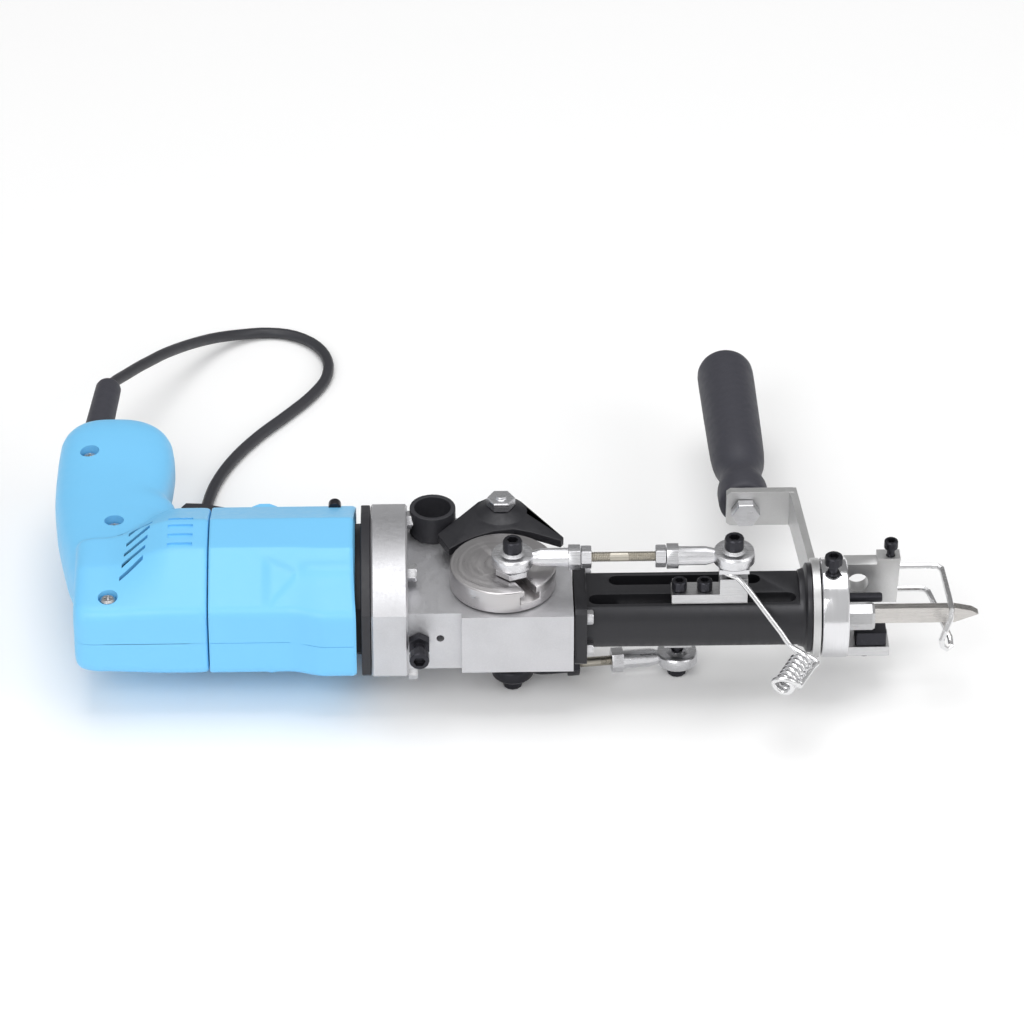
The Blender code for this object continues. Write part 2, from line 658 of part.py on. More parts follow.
def gearbox_trim():
    """What is bolted on the outside of the gearbox."""
    tube = [(BLOCK_HALF + GAP, 9.2), (BLOCK_HALF + GAP, 11.6), (31.6, 11.6), (31.6, 9.2)]
    turned("hanger_tube", "Z", (-34.5, 46.5, 0), tube, FRAME, (BLACK, 0.45, 0.0), 28, True)
    outline = [
        (-26.6, 14.6), (-20.0, 20.6), (-12.8, 25.6), (-4.0, 29.8), (6.3, 31.6), (16.0, 28.0),
        (29.3, 20.9), (31.0, 23.4), (10.6, 55.5), (6.6, 59.2), (0.0, 61.0), (-6.6, 59.4),
        (-11.5, 56.0), (-32.3, 27.8),
    ]
    low, top = GUARD_SEAT + GAP, GUARD_SEAT + GAP + 4.5
    plate = prism("disc_guard", "Z", outline, low, top, FRAME, (GRAPHITE, 0.4, 0.6))
    boss = turned("guard_boss", "Z", (0, GUARD_Y, 0), [(top - 1, 12.8), (top, 12.8), (top + 3.2, 7.0)],
                  FRAME, None, 28)
    hole = turned("guard_bore", "Z", (0, GUARD_Y, 0), [(20, 3.4), (40, 3.4)], FRAME, None, 12)
    cut(join(plate, boss), hole)
    nut = top + 3.2 + GAP
    stud = [
        (10.0, circle(3.0, 12)), (nut, circle(3.0, 12)), (nut, hexagon(12.6)), (nut + 4.3, hexagon(12.6)),
        (nut + 4.8, hexagon(11.8)), (nut + 4.8, circle(3.0, 12)), (nut + 6.0, circle(2.6, 12)),
    ]
    stack("guard_stud", "Z", (0, GUARD_Y, 0), stud, FRAME, (STEEL, 0.3, 1.0))
    stop = [
        (-39.5, hexagon(5.2)), (-42.4, hexagon(5.2)), (-42.4, circle(4.4, 12)), (-41.9, circle(5.0, 12)),
        (-36.5, circle(5.0, 12)), (-36.5, circle(2.9, 12)), (-30.4, circle(2.9, 12)),
        (-30.4, hexagon(10, False)), (-25.3, hexagon(10, False)), (-25.3, circle(2.9, 12)),
        (-14, circle(2.9, 12)),
    ]
    stack("stop_screw", "Y", (-42.0, 0, 0), stop, FRAME, (GRAPHITE, 0.35, 0.8))


# ---------------------------------------------------------------- rods


def rod_frame(pin, wrist, height):
    """From rod axes, +X from the rear eye to the front one, to the gun's axes."""
    run = Vector((wrist[0] - pin[0], wrist[1] - pin[1], 0))
    turn = math.atan2(run.y, run.x)
    return Matrix.Translation((pin[0], pin[1], height)) @ Matrix.Rotation(turn, 4, "Z"), run.length


EYE = [(4.5, 3.3), (4.5, 4.8), (3.2, 6.1), (3.4, 6.9), (3.4, 9.7), (2.4, 10.5), (-2.4, 10.5),
       (-3.4, 9.7), (-3.4, 6.9), (-3.2, 6.1), (-4.5, 4.8), (-4.5, 3.3)]
SHANK_END = 33.5


def rod_end(name, to_gun, at, facing, parent):
    """A rod end: an eye round its ball, and a shank with a hexagon and a blind thread."""

    def placed(points):
        return [to_gun @ Vector((at + facing * p[0], p[1], p[2])) for p in points]

    eye_rings = [placed([(a, b, z) for a, b in circle(r, 28)]) for z, r in EYE]
    eye = loft(name, eye_rings, parent, (STEEL, 0.35, 1.0), closed=True)
    shank = [
        (8.6, circle(3.3, 12)), (14.0, circle(4.7, 12)), (27.6, circle(4.8, 12)),
        (27.6, hexagon(11)), (SHANK_END, hexagon(11)), (SHANK_END, circle(2.9, 12)),
        (20.0, circle(2.9, 12)),
    ]
    rings = [placed([(x, a, b) for a, b in ring]) for x, ring in shank]
    return join(eye, loft(name + "_shank", rings, parent, None))


def rod_set(label, pin, wrist, height, parent, nuts):
    to_gun, length = rod_frame(pin, wrist, height)
    rod_end(f"{label}_rod_end_rear", to_gun, 0, 1, parent)
    rod_end(f"{label}_rod_end_front", to_gun, length, -1, parent)

    def placed(x, ring):
        return [to_gun @ Vector((x, a, b)) for a, b in ring]

    middle = length / 2
    near, far = SHANK_END - 11, length - SHANK_END + 11
    stud = [(near, 2.2), (near + 0.6, 2.6), (middle - 4, 2.6), (middle - 3.8, 2.45),
            (middle + 3.8, 2.45), (middle + 4, 2.6), (far - 0.6, 2.6), (far, 2.2)]
    rings = [placed(x, circle(r, 12)) for x, r in stud]
    loft(f"{label}_rod_stud", rings, parent, ((0.5, 0.46, 0.4), 0.4, 1.0))
    nut_places = {"rear": SHANK_END + GAP, "front": length - SHANK_END - GAP - 5.2}
    for which in nuts:
        x = nut_places[which]
        rings = [
            placed(x, hexagon(9.6)), placed(x + 0.5, hexagon(10)), placed(x + 4.7, hexagon(10)),
            placed(x + 5.2, hexagon(9.6)), placed(x + 5.2, circle(2.9, 12)), placed(x, circle(2.9, 12)),
        ]
        loft(f"{label}_lock_nut_{which}", rings, parent, (STEEL, 0.35, 1.0), closed=True)


def pivot_screws():
    black = (GRAPHITE, 0.35, 0.8)
    top = NEEDLE_ROD_Z + EYE_HALF + GAP
    socket_screw("needle_crank_screw", "Z", (*CRANK_PIN, top), 1, 4.9, 6.2, 2.95,
                 top - DISC_TOP - 0.6, NEEDLE_ROD, black)
    socket_screw("needle_wrist_screw", "Z", (WRIST_X, NEEDLE_Y, top), 1, 4.9, 6.2, 2.95,
                 top - 21.0, NEEDLE, black)
    spacer = DISC_TOP + GAP + 0.2
    thickness = NEEDLE_ROD_Z - EYE_HALF - GAP - spacer
    hex_nut("needle_crank_nut", "Z", (*CRANK_PIN, spacer + thickness / 2), 15.5, thickness, 3.3,
            NEEDLE_ROD, (CHROME, 0.25, 1.0), twist=0.35)
    bottom = LOOPER_ROD_Z - EYE_HALF - GAP
    hexed = [
        (-5.8, circle(4.4, 12)), (-5.2, circle(4.9, 12)), (0.0, circle(4.9, 12)),
        (0.0, circle(2.95, 12)), (2 * EYE_HALF + 2 * GAP, circle(2.95, 12)),
        (2 * EYE_HALF + 2 * GAP, hexagon(11)), (-25.6 - bottom, hexagon(11)),
    ]
    stack("looper_crank_screw", "Z", (*LOOPER_PIN, bottom), hexed, LOOPER_ROD, black)
    socket_screw("looper_wrist_screw", "Z", (LOOPER_WRIST_X, LOOPER_Y, bottom), -1, 4.9, 5.8, 2.95,
                 -21.0 - bottom, LOOPER, black)


# ---------------------------------------------------------------- barrel and what slides in it


def slot_outline(y, half_width, start, end):
    """A slot with round ends, (X, Y)."""
    points = []
    for i in range(7):
        turn = math.radians(-90 + 30 * i)
        points.append((end - half_width + half_width * math.cos(turn), y + half_width * math.sin(turn)))
    for i in range(7):
        turn = math.radians(90 + 30 * i)
        points.append((start + half_width + half_width * math.cos(turn), y + half_width * math.sin(turn)))
    return points


def barrel():
    profile = [(41, BARREL_R), (148.0, BARREL_R), (150.2, 20.0), (151.4, 22.4), (153.7, 22.4),
               (153.7, BARREL_R), (BARREL_END, BARREL_R)]
    tube = turned("barrel", "X", (0, 0, 0), profile, FRAME, (BLACK, 0.35, 0.3), 40)
    plate_outline = [(-25, -14.7), (-25, 14.7), (-23, 16.7), (23, 16.7), (25, 14.7), (25, -14.7),
                     (23, -16.7), (-23, -16.7)]
    plate = prism("barrel_plate", "X", plate_outline, BARREL_START, 41.4, FRAME, None)
    tools = []
    for side in (-1, 1):
        low, high = sorted((side * BARREL_FLAT_Z, side * 22))
        tools.append(box(f"barrel_flat_{side}", (41.4, -22, low), (147.5, 22, high), FRAME, None))
    for label, y in (("needle", NEEDLE_Y), ("looper", LOOPER_Y)):
        tools.append(turned(f"{label}_bore", "X", (0, y, 0), [(30, BAR_R + 0.35), (180, BAR_R + 0.35)],
                            FRAME, None, 20))
    tools.append(turned("holder_room", "X", (0, NEEDLE_Y, 0), [(145, 7.7), (180, 7.7)], FRAME, None, 20))
    tools.append(prism("slot_needle", "Z", slot_outline(NEEDLE_Y, 4.2, 42.5, 146), 0, 22, FRAME, None))
    tools.append(prism("slot_far", "Z", slot_outline(LOOPER_Y + 0.2, 4.0, 53, 129), 0, 22, FRAME, None))
    tools.append(prism("slot_looper", "Z", slot_outline(LOOPER_Y, 4.2, 42.5, 146), -22, 0, FRAME, None))
    return cut(join(tube, plate), *tools)


def carriage(label, y, side, low_span, tall_span, top, width_half, parent):
    """A stepped steel block on the barrel's flat, with a key that goes down its slot to the bar."""
    flat = BARREL_FLAT_Z + GAP
    step = flat + 5.6
    outline = [
        (low_span[0], flat), (tall_span[1], flat), (tall_span[1], top), (tall_span[0], top),
        (tall_span[0], step), (low_span[0], step),
    ]
    block = prism(f"{label}_carriage", "Y", [(x, side * z) for x, z in outline], y - width_half,
                  y + width_half, parent, (STEEL, 0.3, 1.0))
    low, high = sorted((side * (BAR_R + GAP), side * (flat + 1)))
    key = box(f"{label}_key", (low_span[0] + 2, y - 3.6, low), (tall_span[1] - 2, y + 3.6, high), parent,
              None)
    bore = turned(f"{label}_wrist_bore", "Z", (tall_span[1] - (tall_span[1] - tall_span[0]) / 2, y, 0),
                  [(side * 20.5, 3.3), (side * (top + 2), 3.3)], parent, None, 12)
    return cut(join(block, key), bore)


def sliding_parts():
    steel = (STEEL, 0.3, 1.0)
    needle_block = carriage("needle", NEEDLE_Y, 1, (83.6, 107.4), (107.4, 121.4), 27.0, 5.6, NEEDLE)
    looper_top = 26.0
    carriage("looper", LOOPER_Y, -1, (70.0, 81.0), (81.0, 95.0), looper_top, 5.6, LOOPER)
    for n, x in enumerate((87.6, 100.2)):
        hole = turned(f"carriage_hole_{n}", "Z", (x, NEEDLE_Y, 0), [(4, 2.8), (30, 2.8)], NEEDLE, None, 12)
        cut(needle_block, hole)
        socket_screw(f"carriage_screw_{n + 1}", "Z", (x, NEEDLE_Y, 18.4), 1, 3.9, 5.0, 2.4, 12.6,
                     NEEDLE, (GRAPHITE, 0.35, 0.8))
    low, high = (WRIST_X - 7.6, NEEDLE_Y - 6.2, 30.4), (WRIST_X + 7.6, NEEDLE_Y + 6.2, 33.2)
    plate = box("wrist_spacer", low, high, NEEDLE, (CHROME, 0.25, 1.0))
    cut(plate, turned("spacer_bore", "Z", (WRIST_X, NEEDLE_Y, 0), [(28, 3.4), (36, 3.4)], NEEDLE, None, 12))
    bar = [(58, BAR_R), (160, BAR_R)]
    turned("needle_bar", "X", (0, NEEDLE_Y, 0), bar, NEEDLE, steel, 16)
    tip = [(52, BAR_R), (150, BAR_R), (152, 2.5), (189.5, 2.5), (190.5, 2.0)]
    turned("looper_bar", "X", (0, LOOPER_Y, 0), tip, LOOPER, (GRAPHITE, 0.4, 0.7), 16)


def needle_parts():
    holder = [(160.3, circle(7.1, 8)), (184.0, circle(7.1, 8)), (185.4, circle(6.3, 8))]
    body = stack("needle_holder", "X", (0, NEEDLE_Y, 0), holder, NEEDLE, (STEEL, 0.3, 1.0))
    cut(body, box("needle_seat", (168, NEEDLE_Y - 0.6, -4.8), (190, NEEDLE_Y + 5.0, 4.8), NEEDLE, None))
    side_view = [(168.5, -4.4), (225.5, -4.4), (237.5, 0.4), (234, 2.6), (225.5, 4.4), (168.5, 4.4)]
    needle = prism("needle", "Y", side_view, NEEDLE_Y - 0.3, NEEDLE_Y + 4.3, NEEDLE, (CHROME, 0.3, 1.0))
    channel = box("needle_channel", (186.5, NEEDLE_Y + 0.9, -3.2), (229, NEEDLE_Y + 9, 3.2), NEEDLE, None)
    eye = turned("needle_eye", "Y", (223, 0, -0.4), [(NEEDLE_Y - 3, 1.2), (NEEDLE_Y + 2, 1.2)], NEEDLE,
                 None, 10)
    cut(needle, channel, eye)


def yarn_guide():
    """A steel wire clamped under the wrist spacer, ending in a coil that the yarn runs through."""
    hook = [(2.0, 5.2), (-3.6, 3.8), (-5.6, 0.0), (-5.8, -3.5), (-5.1, -6.3)]
    points = [Vector((WRIST_X + x, NEEDLE_Y + y, 28.7)) for x, y in hook]
    start = points[-1]
    knee = Vector((140.5, -31.0, 0.0))
    coil_start = Vector((148.5, -36.5, -4.5))
    coil_end = Vector((135.5, -60.0, -7.0))
    axis = (coil_end - coil_start).normalized()
    side = axis.cross(Vector((0, 0, 1))).normalized()
    up = side.cross(axis)
    radius, turns, per_turn = 6.0, 6.5, 10
    points += [start.lerp(knee, 0.5) + Vector((0, -2.0, 0.5)), knee]
    count = round(turns * per_turn)
    for i in range(count + 1):
        turn = 2 * math.pi * i / per_turn + math.radians(100)
        along = axis * (coil_end - coil_start).length * i / count
        points.append(coil_start + along + side * radius * math.cos(turn) + up * radius * math.sin(turn))
    wire("yarn_guide", points, 1.4, NEEDLE, (CHROME, 0.25, 1.0), resolution=1)


# ---------------------------------------------------------------- nose


def nose():
    chrome = (CHROME, 0.2, 1.0)
    inner = BARREL_R + GAP
    ring = [(158.6, inner), (158.6, 24.4), (159.2, COLLAR_R), (171.2, COLLAR_R), (171.8, 24.4),
            (171.8, inner)]
    collar = turned("clamp_collar", "X", (0, 0, 0), ring, FRAME, chrome, 40, True)
    pad = turned("collar_screw_hole", "Z", (164.4, -3.5, 0), [(18.5, 2.9), (30, 2.9)], FRAME, None, 12)
    cut(collar, pad)
    socket_screw("collar_screw", "Z", (164.4, -3.5, 29.0), 1, 4.6, 4.8, 2.5, 9.2, FRAME,
                 (GRAPHITE, 0.35, 0.8))
    bar = box("foot_bar", (172.1, 20.0, -11.7), (189.3, 28.4, 11.7), FRAME, (STEEL, 0.4, 1.0))
    end = prism("foot_bar_end", "Y", [(188.5, -11.7), (199.0, -11.7), (200.2, 15), (188.5, 15)], 20.0, 28.4,
                FRAME, None)
    hole = turned("foot_bar_hole", "Y", (179.2, 0, 0.6), [(15, 5.4), (35, 5.4)], FRAME, None, 20)
    cut(join(bar, end), hole)
    for n, z in enumerate((7.0, -7.0)):
        cut(bar, turned(f"foot_bore_{n}", "X", (0, 25.0, z), [(180, 1.85), (205, 1.85)], FRAME, None, 12))
    cut(bar, turned("foot_screw_bore", "Z", (195.4, 23.4, 0), [(10, 2.4), (20, 2.4)], FRAME, None, 12))
    bracket = [(172.1, -24.0), (193.5, -24.0), (193.5, -18.5), (172.1, -18.5)]
    plate = prism("lower_bracket", "Y", bracket, -9.0, 7.0, FRAME, (STEEL, 0.35, 1.0))
    cut(plate, turned("bracket_hole", "Z", (181.5, -3.5, 0), [(-30, 2.4), (-10, 2.4)], FRAME, None, 12))


def presser_foot():
    y, z, far = 25.0, 7.0, 182.5
    upper = [(far, y, z), (216, y, z), (219.5, y - 0.6, z), (221.4, y - 3.0, z), (223.2, -4, z - 0.4),
             (223.6, -12, z - 1.2), (222.6, -16.5, 3.4), (220.0, -19.5, -1.5), (218.2, -21.0, -6.0)]
    loop = [(218.8, -21.6, -9.2), (221.0, -21.6, -11.0), (223.2, -20.0, -10.2), (223.0, -16.0, -8.4),
            (221.4, -10.0, -7.4)]
    lower = [(216.8, 14.0, -z), (215.2, y - 3.0, -z), (213.4, y - 0.6, -z), (210.4, y, -z), (far, y, -z)]
    wire("presser_foot", upper + loop + lower, 1.5, FOOT, (CHROME, 0.2, 1.0), resolution=2)


def leaning(layers):
    """Layers along the handle's own axis, which leans a little from square to the bracket's tab."""
    lean = Matrix.Rotation(math.radians(1.6), 3, "Z")
    seat = Vector((126, 92, -0.6))
    return [[seat + lean @ Vector((p, along - 92, q)) for p, q in outline] for along, outline in layers]


def front_handle():
    zinc = (STEEL, 0.4, 0.9)
    ring = [(154.0, BARREL_R + GAP), (154.0, 24.8), (157.8, 24.8), (157.8, BARREL_R + GAP)]
    bracket = turned("handle_bracket", "X", (0, 0, 0), ring, HANDLE, zinc, 40, True)
    arm = prism("bracket_arm", "Z", [(154.0, 21.5), (157.8, 21.5), (157.8, 30), (152.4, 92.0), (147.5, 92.0),
                                     (149.2, 84), (154.0, 30)], -10, 10, HANDLE, None)
    tab = prism("bracket_tab", "Y", [(116.5, -8.5), (118.5, -10.2), (151, -10.2), (151, 10.2),
                                     (118.5, 10.2), (116.5, 8.5)], 87.6, 92.0, HANDLE, None)
    hole = turned("tab_hole", "Y", (126, 0, -0.6), [(80, 4.4), (100, 4.4)], HANDLE, None, 16)
    cut(join(bracket, arm, tab), hole)
    grip = [(118, 4.6), (92.6, 4.6), (92.6, 12.2), (93.8, 12.9), (104, 13.0), (111, 11.6), (117, 10.8),
            (122, 11.8), (129, 13.6), (140, 14.2), (200, 14.9), (214, 14.8), (218, 13.7), (220.2, 11.2),
            (220.9, 2.0)]
    loft("front_handle", leaning([(a, circle(r, 28)) for a, r in grip]), HANDLE, (BLACK, 0.6, 0.0))
    bolt = [(81.8, hexagon(12.2)), (82.4, hexagon(13)), (87.0, hexagon(13)), (87.0, circle(3.9, 12)),
            (116, circle(3.9, 12))]
    loft("handle_bolt", leaning(bolt), HANDLE, (STEEL, 0.35, 1.0))


motor_housing()
handle_shell(1, "left")
handle_shell(-1, "right")
trigger()
box("switch_module", (-205, 84, -9), (-178, 118, 9), FRAME, (BLACK, 0.5, 0.0))
strain_relief()
mains_cord()
motor()
armature_shaft()
baffle()
gearbox()
gearbox_trim()
worm_wheel()
crank_parts()
rod_set("needle", CRANK_PIN, (WRIST_X, NEEDLE_Y), NEEDLE_ROD_Z, NEEDLE_ROD, ("rear", "front"))
rod_set("looper", LOOPER_PIN, (LOOPER_WRIST_X, LOOPER_Y), LOOPER_ROD_Z, LOOPER_ROD, ())
pivot_screws()
barrel()
sliding_parts()
needle_parts()
yarn_guide()
nose()
presser_foot()
front_handle()
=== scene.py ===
"""Electric carpet tufting gun: the looks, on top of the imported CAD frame."""

import json
import math

import bmesh
import bpy
from mathutils import Matrix, Vector


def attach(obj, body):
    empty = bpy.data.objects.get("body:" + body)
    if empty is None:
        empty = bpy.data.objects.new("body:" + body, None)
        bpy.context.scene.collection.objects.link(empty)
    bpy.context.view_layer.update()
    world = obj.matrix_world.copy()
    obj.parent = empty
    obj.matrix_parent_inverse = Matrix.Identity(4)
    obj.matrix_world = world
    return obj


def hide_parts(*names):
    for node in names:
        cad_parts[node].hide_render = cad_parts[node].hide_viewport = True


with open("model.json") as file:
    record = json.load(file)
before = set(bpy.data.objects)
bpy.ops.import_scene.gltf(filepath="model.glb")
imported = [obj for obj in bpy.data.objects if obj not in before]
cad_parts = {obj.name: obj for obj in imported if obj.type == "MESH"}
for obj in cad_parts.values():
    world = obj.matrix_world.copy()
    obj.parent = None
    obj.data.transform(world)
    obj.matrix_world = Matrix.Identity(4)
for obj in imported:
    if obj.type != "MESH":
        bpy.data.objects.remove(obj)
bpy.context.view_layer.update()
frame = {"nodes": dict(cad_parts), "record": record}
NODES = frame["nodes"]
BODY_OF = {
    node: body for body, nodes in frame["record"]["behaviour"]["bodies"].items() for node in nodes
}

# In millimetres, from part.py's origin on the crankshaft to the frame's origin on the floor
DATUM = Vector((-4.65, -78.84, 45.0))
FLOOR_Z = -DATUM.z


def at(x, y, z):
    """A point in the gun's millimetres, in the frame's metres."""
    return (Vector((x, y, z)) + DATUM) * 0.001


# ---------------------------------------------------------------- camera

# Found by fitting the photo's landmarks: how far it looks down, how far round, and from where
TILT, TURN = math.radians(34.5), math.radians(1.2)
CAMERA_AT = at(-42.3, -2237.9, 1598.4)
FOCAL_LENGTH = 193.36  # with a 36 mm sensor
right = Vector((math.cos(TURN), -math.sin(TURN), 0))
up = Vector((math.sin(TURN) * math.sin(TILT), math.cos(TURN) * math.sin(TILT), math.cos(TILT)))
camera_data = bpy.data.cameras.new("camera")
camera_data.lens = FOCAL_LENGTH
camera_data.sensor_width = 36.0
camera_data.clip_end = 20.0
camera = bpy.data.objects.new("camera", camera_data)
bpy.context.scene.collection.objects.link(camera)
turned_axes = Matrix((right, up, right.cross(up))).transposed()
camera.matrix_world = Matrix.Translation(CAMERA_AT) @ turned_axes.to_4x4()
bpy.context.scene.camera = camera


# ---------------------------------------------------------------- materials


class Finish:
    """A node material under construction, in the object's own metres."""

    def __init__(self, name, colour, rough, metal=0.0):
        self.material = bpy.data.materials.new(name)
        self.material.use_nodes = True
        self.nodes = self.material.node_tree.nodes
        self.links = self.material.node_tree.links
        self.shader = self.nodes["Principled BSDF"]
        self.colour = (*colour, 1.0)
        self.shader.inputs["Base Color"].default_value = self.colour
        self.shader.inputs["Roughness"].default_value = rough
        self.shader.inputs["Metallic"].default_value = metal
        self.place = self.nodes.new("ShaderNodeTexCoord").outputs["Object"]
        self.bumps = None

    def node(self, kind, **settings):
        made = self.nodes.new(kind)
        for key, value in settings.items():
            if hasattr(made, key):
                setattr(made, key, value)
            else:
                made.inputs[key].default_value = value
        return made

    def scaled(self, scale=(1, 1, 1)):
        mapping = self.node("ShaderNodeMapping")
        mapping.inputs["Scale"].default_value = scale
        self.links.new(self.place, mapping.inputs["Vector"])
        return mapping.outputs["Vector"]

    def polar(self, axis, around):
        """Radius and distance along an axis through the crankshaft, the same nearly all round."""
        keep = {"X": (0, 1, 1), "Y": (1, 0, 1), "Z": (1, 1, 0)}[axis]
        moved = self.node("ShaderNodeVectorMath", operation="SUBTRACT")
        self.links.new(self.place, moved.inputs[0])
        moved.inputs[1].default_value = at(0, 0, 0)
        flat = self.node("ShaderNodeVectorMath", operation="MULTIPLY")
        self.links.new(moved.outputs[0], flat.inputs[0])
        flat.inputs[1].default_value = keep
        size = self.node("ShaderNodeVectorMath", operation="LENGTH")
        self.links.new(flat.outputs[0], size.inputs[0])
        split = self.node("ShaderNodeSeparateXYZ")
        self.links.new(moved.outputs[0], split.inputs[0])
        combined = self.node("ShaderNodeCombineXYZ")
        self.links.new(size.outputs["Value"], combined.inputs[0])
        self.links.new(split.outputs[axis], combined.inputs[1])
        direction = self.node("ShaderNodeVectorMath", operation="NORMALIZE")
        self.links.new(flat.outputs[0], direction.inputs[0])
        spread = self.node("ShaderNodeVectorMath", operation="SCALE")
        spread.inputs["Scale"].default_value = around
        self.links.new(direction.outputs[0], spread.inputs[0])
        total = self.node("ShaderNodeVectorMath", operation="ADD")
        self.links.new(combined.outputs[0], total.inputs[0])
        self.links.new(spread.outputs[0], total.inputs[1])
        return total.outputs[0]

    def noise(self, vector, scale, detail=4.0, rough=0.55):
        made = self.node("ShaderNodeTexNoise", Scale=scale, Detail=detail, Roughness=rough)
        self.links.new(vector, made.inputs["Vector"])
        return made.outputs["Fac"]

    def spread(self, value, low, high, out_low=0.0, out_high=1.0):
        made = self.node("ShaderNodeMapRange")
        limits = {"From Min": low, "From Max": high, "To Min": out_low, "To Max": out_high}
        for key, number in limits.items():
            made.inputs[key].default_value = number
        self.links.new(value, made.inputs["Value"])
        return made.outputs["Result"]

    def tint(self, mask, colour):
        """Turns the base colour towards another where the mask is high."""
        mix = self.node("ShaderNodeMix", data_type="RGBA")
        source = self.shader.inputs["Base Color"]
        if source.links:
            self.links.new(source.links[0].from_socket, mix.inputs["A"])
        else:
            mix.inputs["A"].default_value = self.colour
        mix.inputs["B"].default_value = (*colour, 1.0)
        self.links.new(mask, mix.inputs["Factor"])
        self.links.new(mix.outputs["Result"], source)

    def mottle(self, value, low, high, most, tone):
        """Tints towards a darker or paler tone of the finish's own colour."""
        self.tint(self.spread(value, low, high, 0.0, most), [c * tone for c in self.colour[:3]])

    def rough(self, value, low, high):
        self.links.new(self.spread(value, 0.3, 0.7, low, high), self.shader.inputs["Roughness"])

    def bump(self, height, depth):
        made = self.node("ShaderNodeBump", Strength=1.0, Distance=depth)
        self.links.new(height, made.inputs["Height"])
        if self.bumps is not None:
            self.links.new(self.bumps, made.inputs["Normal"])
        self.bumps = made.outputs["Normal"]
        self.links.new(self.bumps, self.shader.inputs["Normal"])


def plastic(name, colour, rough, grain=900.0):
    made = Finish(name, colour, rough)
    plain = made.scaled()
    made.mottle(made.noise(plain, 14.0, 3.0), 0.35, 0.75, 0.16, 0.82)
    made.rough(made.noise(plain, 260.0, 3.0), rough - 0.05, rough + 0.06)
    made.bump(made.noise(plain, grain, 2.0), 0.00003)
    return made


def cast_metal(name, colour, rough):
    made = Finish(name, colour, rough, 0.85)
    plain = made.scaled()
    made.mottle(made.noise(plain, 60.0, 5.0), 0.4, 0.75, 0.35, 0.78)
    made.mottle(made.noise(plain, 1500.0, 3.0), 0.52, 0.75, 0.22, 1.25)
    made.rough(made.noise(plain, 900.0, 4.0), rough - 0.08, rough + 0.1)
    made.bump(made.noise(plain, 2400.0, 3.0), 0.00004)
    made.bump(made.noise(plain, 120.0, 3.0), 0.00006)
    return made


def turned_metal(name, colour, rough, axis, metal=1.0, depth=0.000002):
    """Fine lathe marks that run round an axis."""
    made = Finish(name, colour, rough, metal)
    lines = made.noise(made.polar(axis, 0.0004), 3800.0, 3.0, 0.6)
    broad = made.noise(made.polar(axis, 0.002), 500.0, 3.0)
    plain = made.noise(made.scaled(), 90.0, 4.0)
    made.mottle(lines, 0.35, 0.7, 0.22, 0.75)
    made.mottle(plain, 0.45, 0.8, 0.12, 0.8)
    made.rough(broad, rough - 0.06, rough + 0.1)
    made.bump(lines, depth)
    return made


def brushed(name, colour, rough, axis="X", tone=0.75):
    """Straight brush marks along one axis."""
    made = Finish(name, colour, rough, 1.0)
    stretch = {"X": (0.03, 1, 1), "Y": (1, 0.03, 1), "Z": (1, 1, 0.03)}[axis]
    lines = made.noise(made.scaled(stretch), 2600.0, 4.0, 0.6)
    patches = made.noise(made.scaled(), 160.0, 4.0)
    made.mottle(lines, 0.4, 0.75, 0.35, tone)
    made.mottle(patches, 0.48, 0.7, 0.3, tone)
    made.rough(lines, rough - 0.06, rough + 0.12)
    made.bump(lines, 0.000004)
    return made


def coated(name, colour, rough, metal, gloss, grain):
    """An even coat.

    gloss is (noise scale, least, most roughness) and grain is (noise scale, depth).
    """
    made = Finish(name, colour, rough, metal)
    made.rough(made.noise(made.scaled(), gloss[0]), gloss[1], gloss[2])
    made.bump(made.noise(made.scaled(), grain[0]), grain[1])
    return made


BLUE = plastic("sky_blue_shell", (0.19, 0.585, 0.93), 0.42)
BLACK_PLASTIC = plastic("black_plastic", (0.022, 0.022, 0.027), 0.5, 1400.0)
RUBBER = plastic("black_rubber", (0.04, 0.04, 0.052), 0.58, 1900.0)
CORD = plastic("black_cord", (0.03, 0.03, 0.036), 0.45, 1200.0)
CAST = cast_metal("bead_blasted_casting", (0.60, 0.60, 0.62), 0.42)
BRACKET = cast_metal("galvanised_plate", (0.66, 0.66, 0.66), 0.36)
STEEL = brushed("machined_steel", (0.62, 0.62, 0.63), 0.3)
ZINC = brushed("zinc_plate", (0.74, 0.74, 0.76), 0.28, tone=0.8)
STUD = brushed("stud_steel", (0.50, 0.47, 0.41), 0.36)
DISC = turned_metal("turned_disc", (0.56, 0.545, 0.55), 0.32, "Z")
CHROME = turned_metal("chromed_ring", (0.80, 0.80, 0.82), 0.14, "X", 1.0, 0.000001)
WIRE = coated("bright_wire", (0.78, 0.78, 0.79), 0.2, 1.0, (500.0, 0.12, 0.3), (900.0, 0.00001))
OXIDE = coated("black_oxide", (0.035, 0.035, 0.042), 0.34, 0.75,
               (900.0, 0.26, 0.46), (1600.0, 0.00002))
BARREL = turned_metal("black_barrel", (0.028, 0.028, 0.032), 0.34, "X", 0.4)
PLATE = coated("black_painted_plate", (0.02, 0.02, 0.024), 0.34, 0.2,
               (300.0, 0.3, 0.5), (900.0, 0.00003))
NEEDLE = brushed("needle_steel", (0.60, 0.58, 0.56), 0.26)
BRONZE = brushed("bronze", (0.62, 0.42, 0.18), 0.35)
LAMINATION = brushed("laminations", (0.25, 0.25, 0.26), 0.5, "Y")

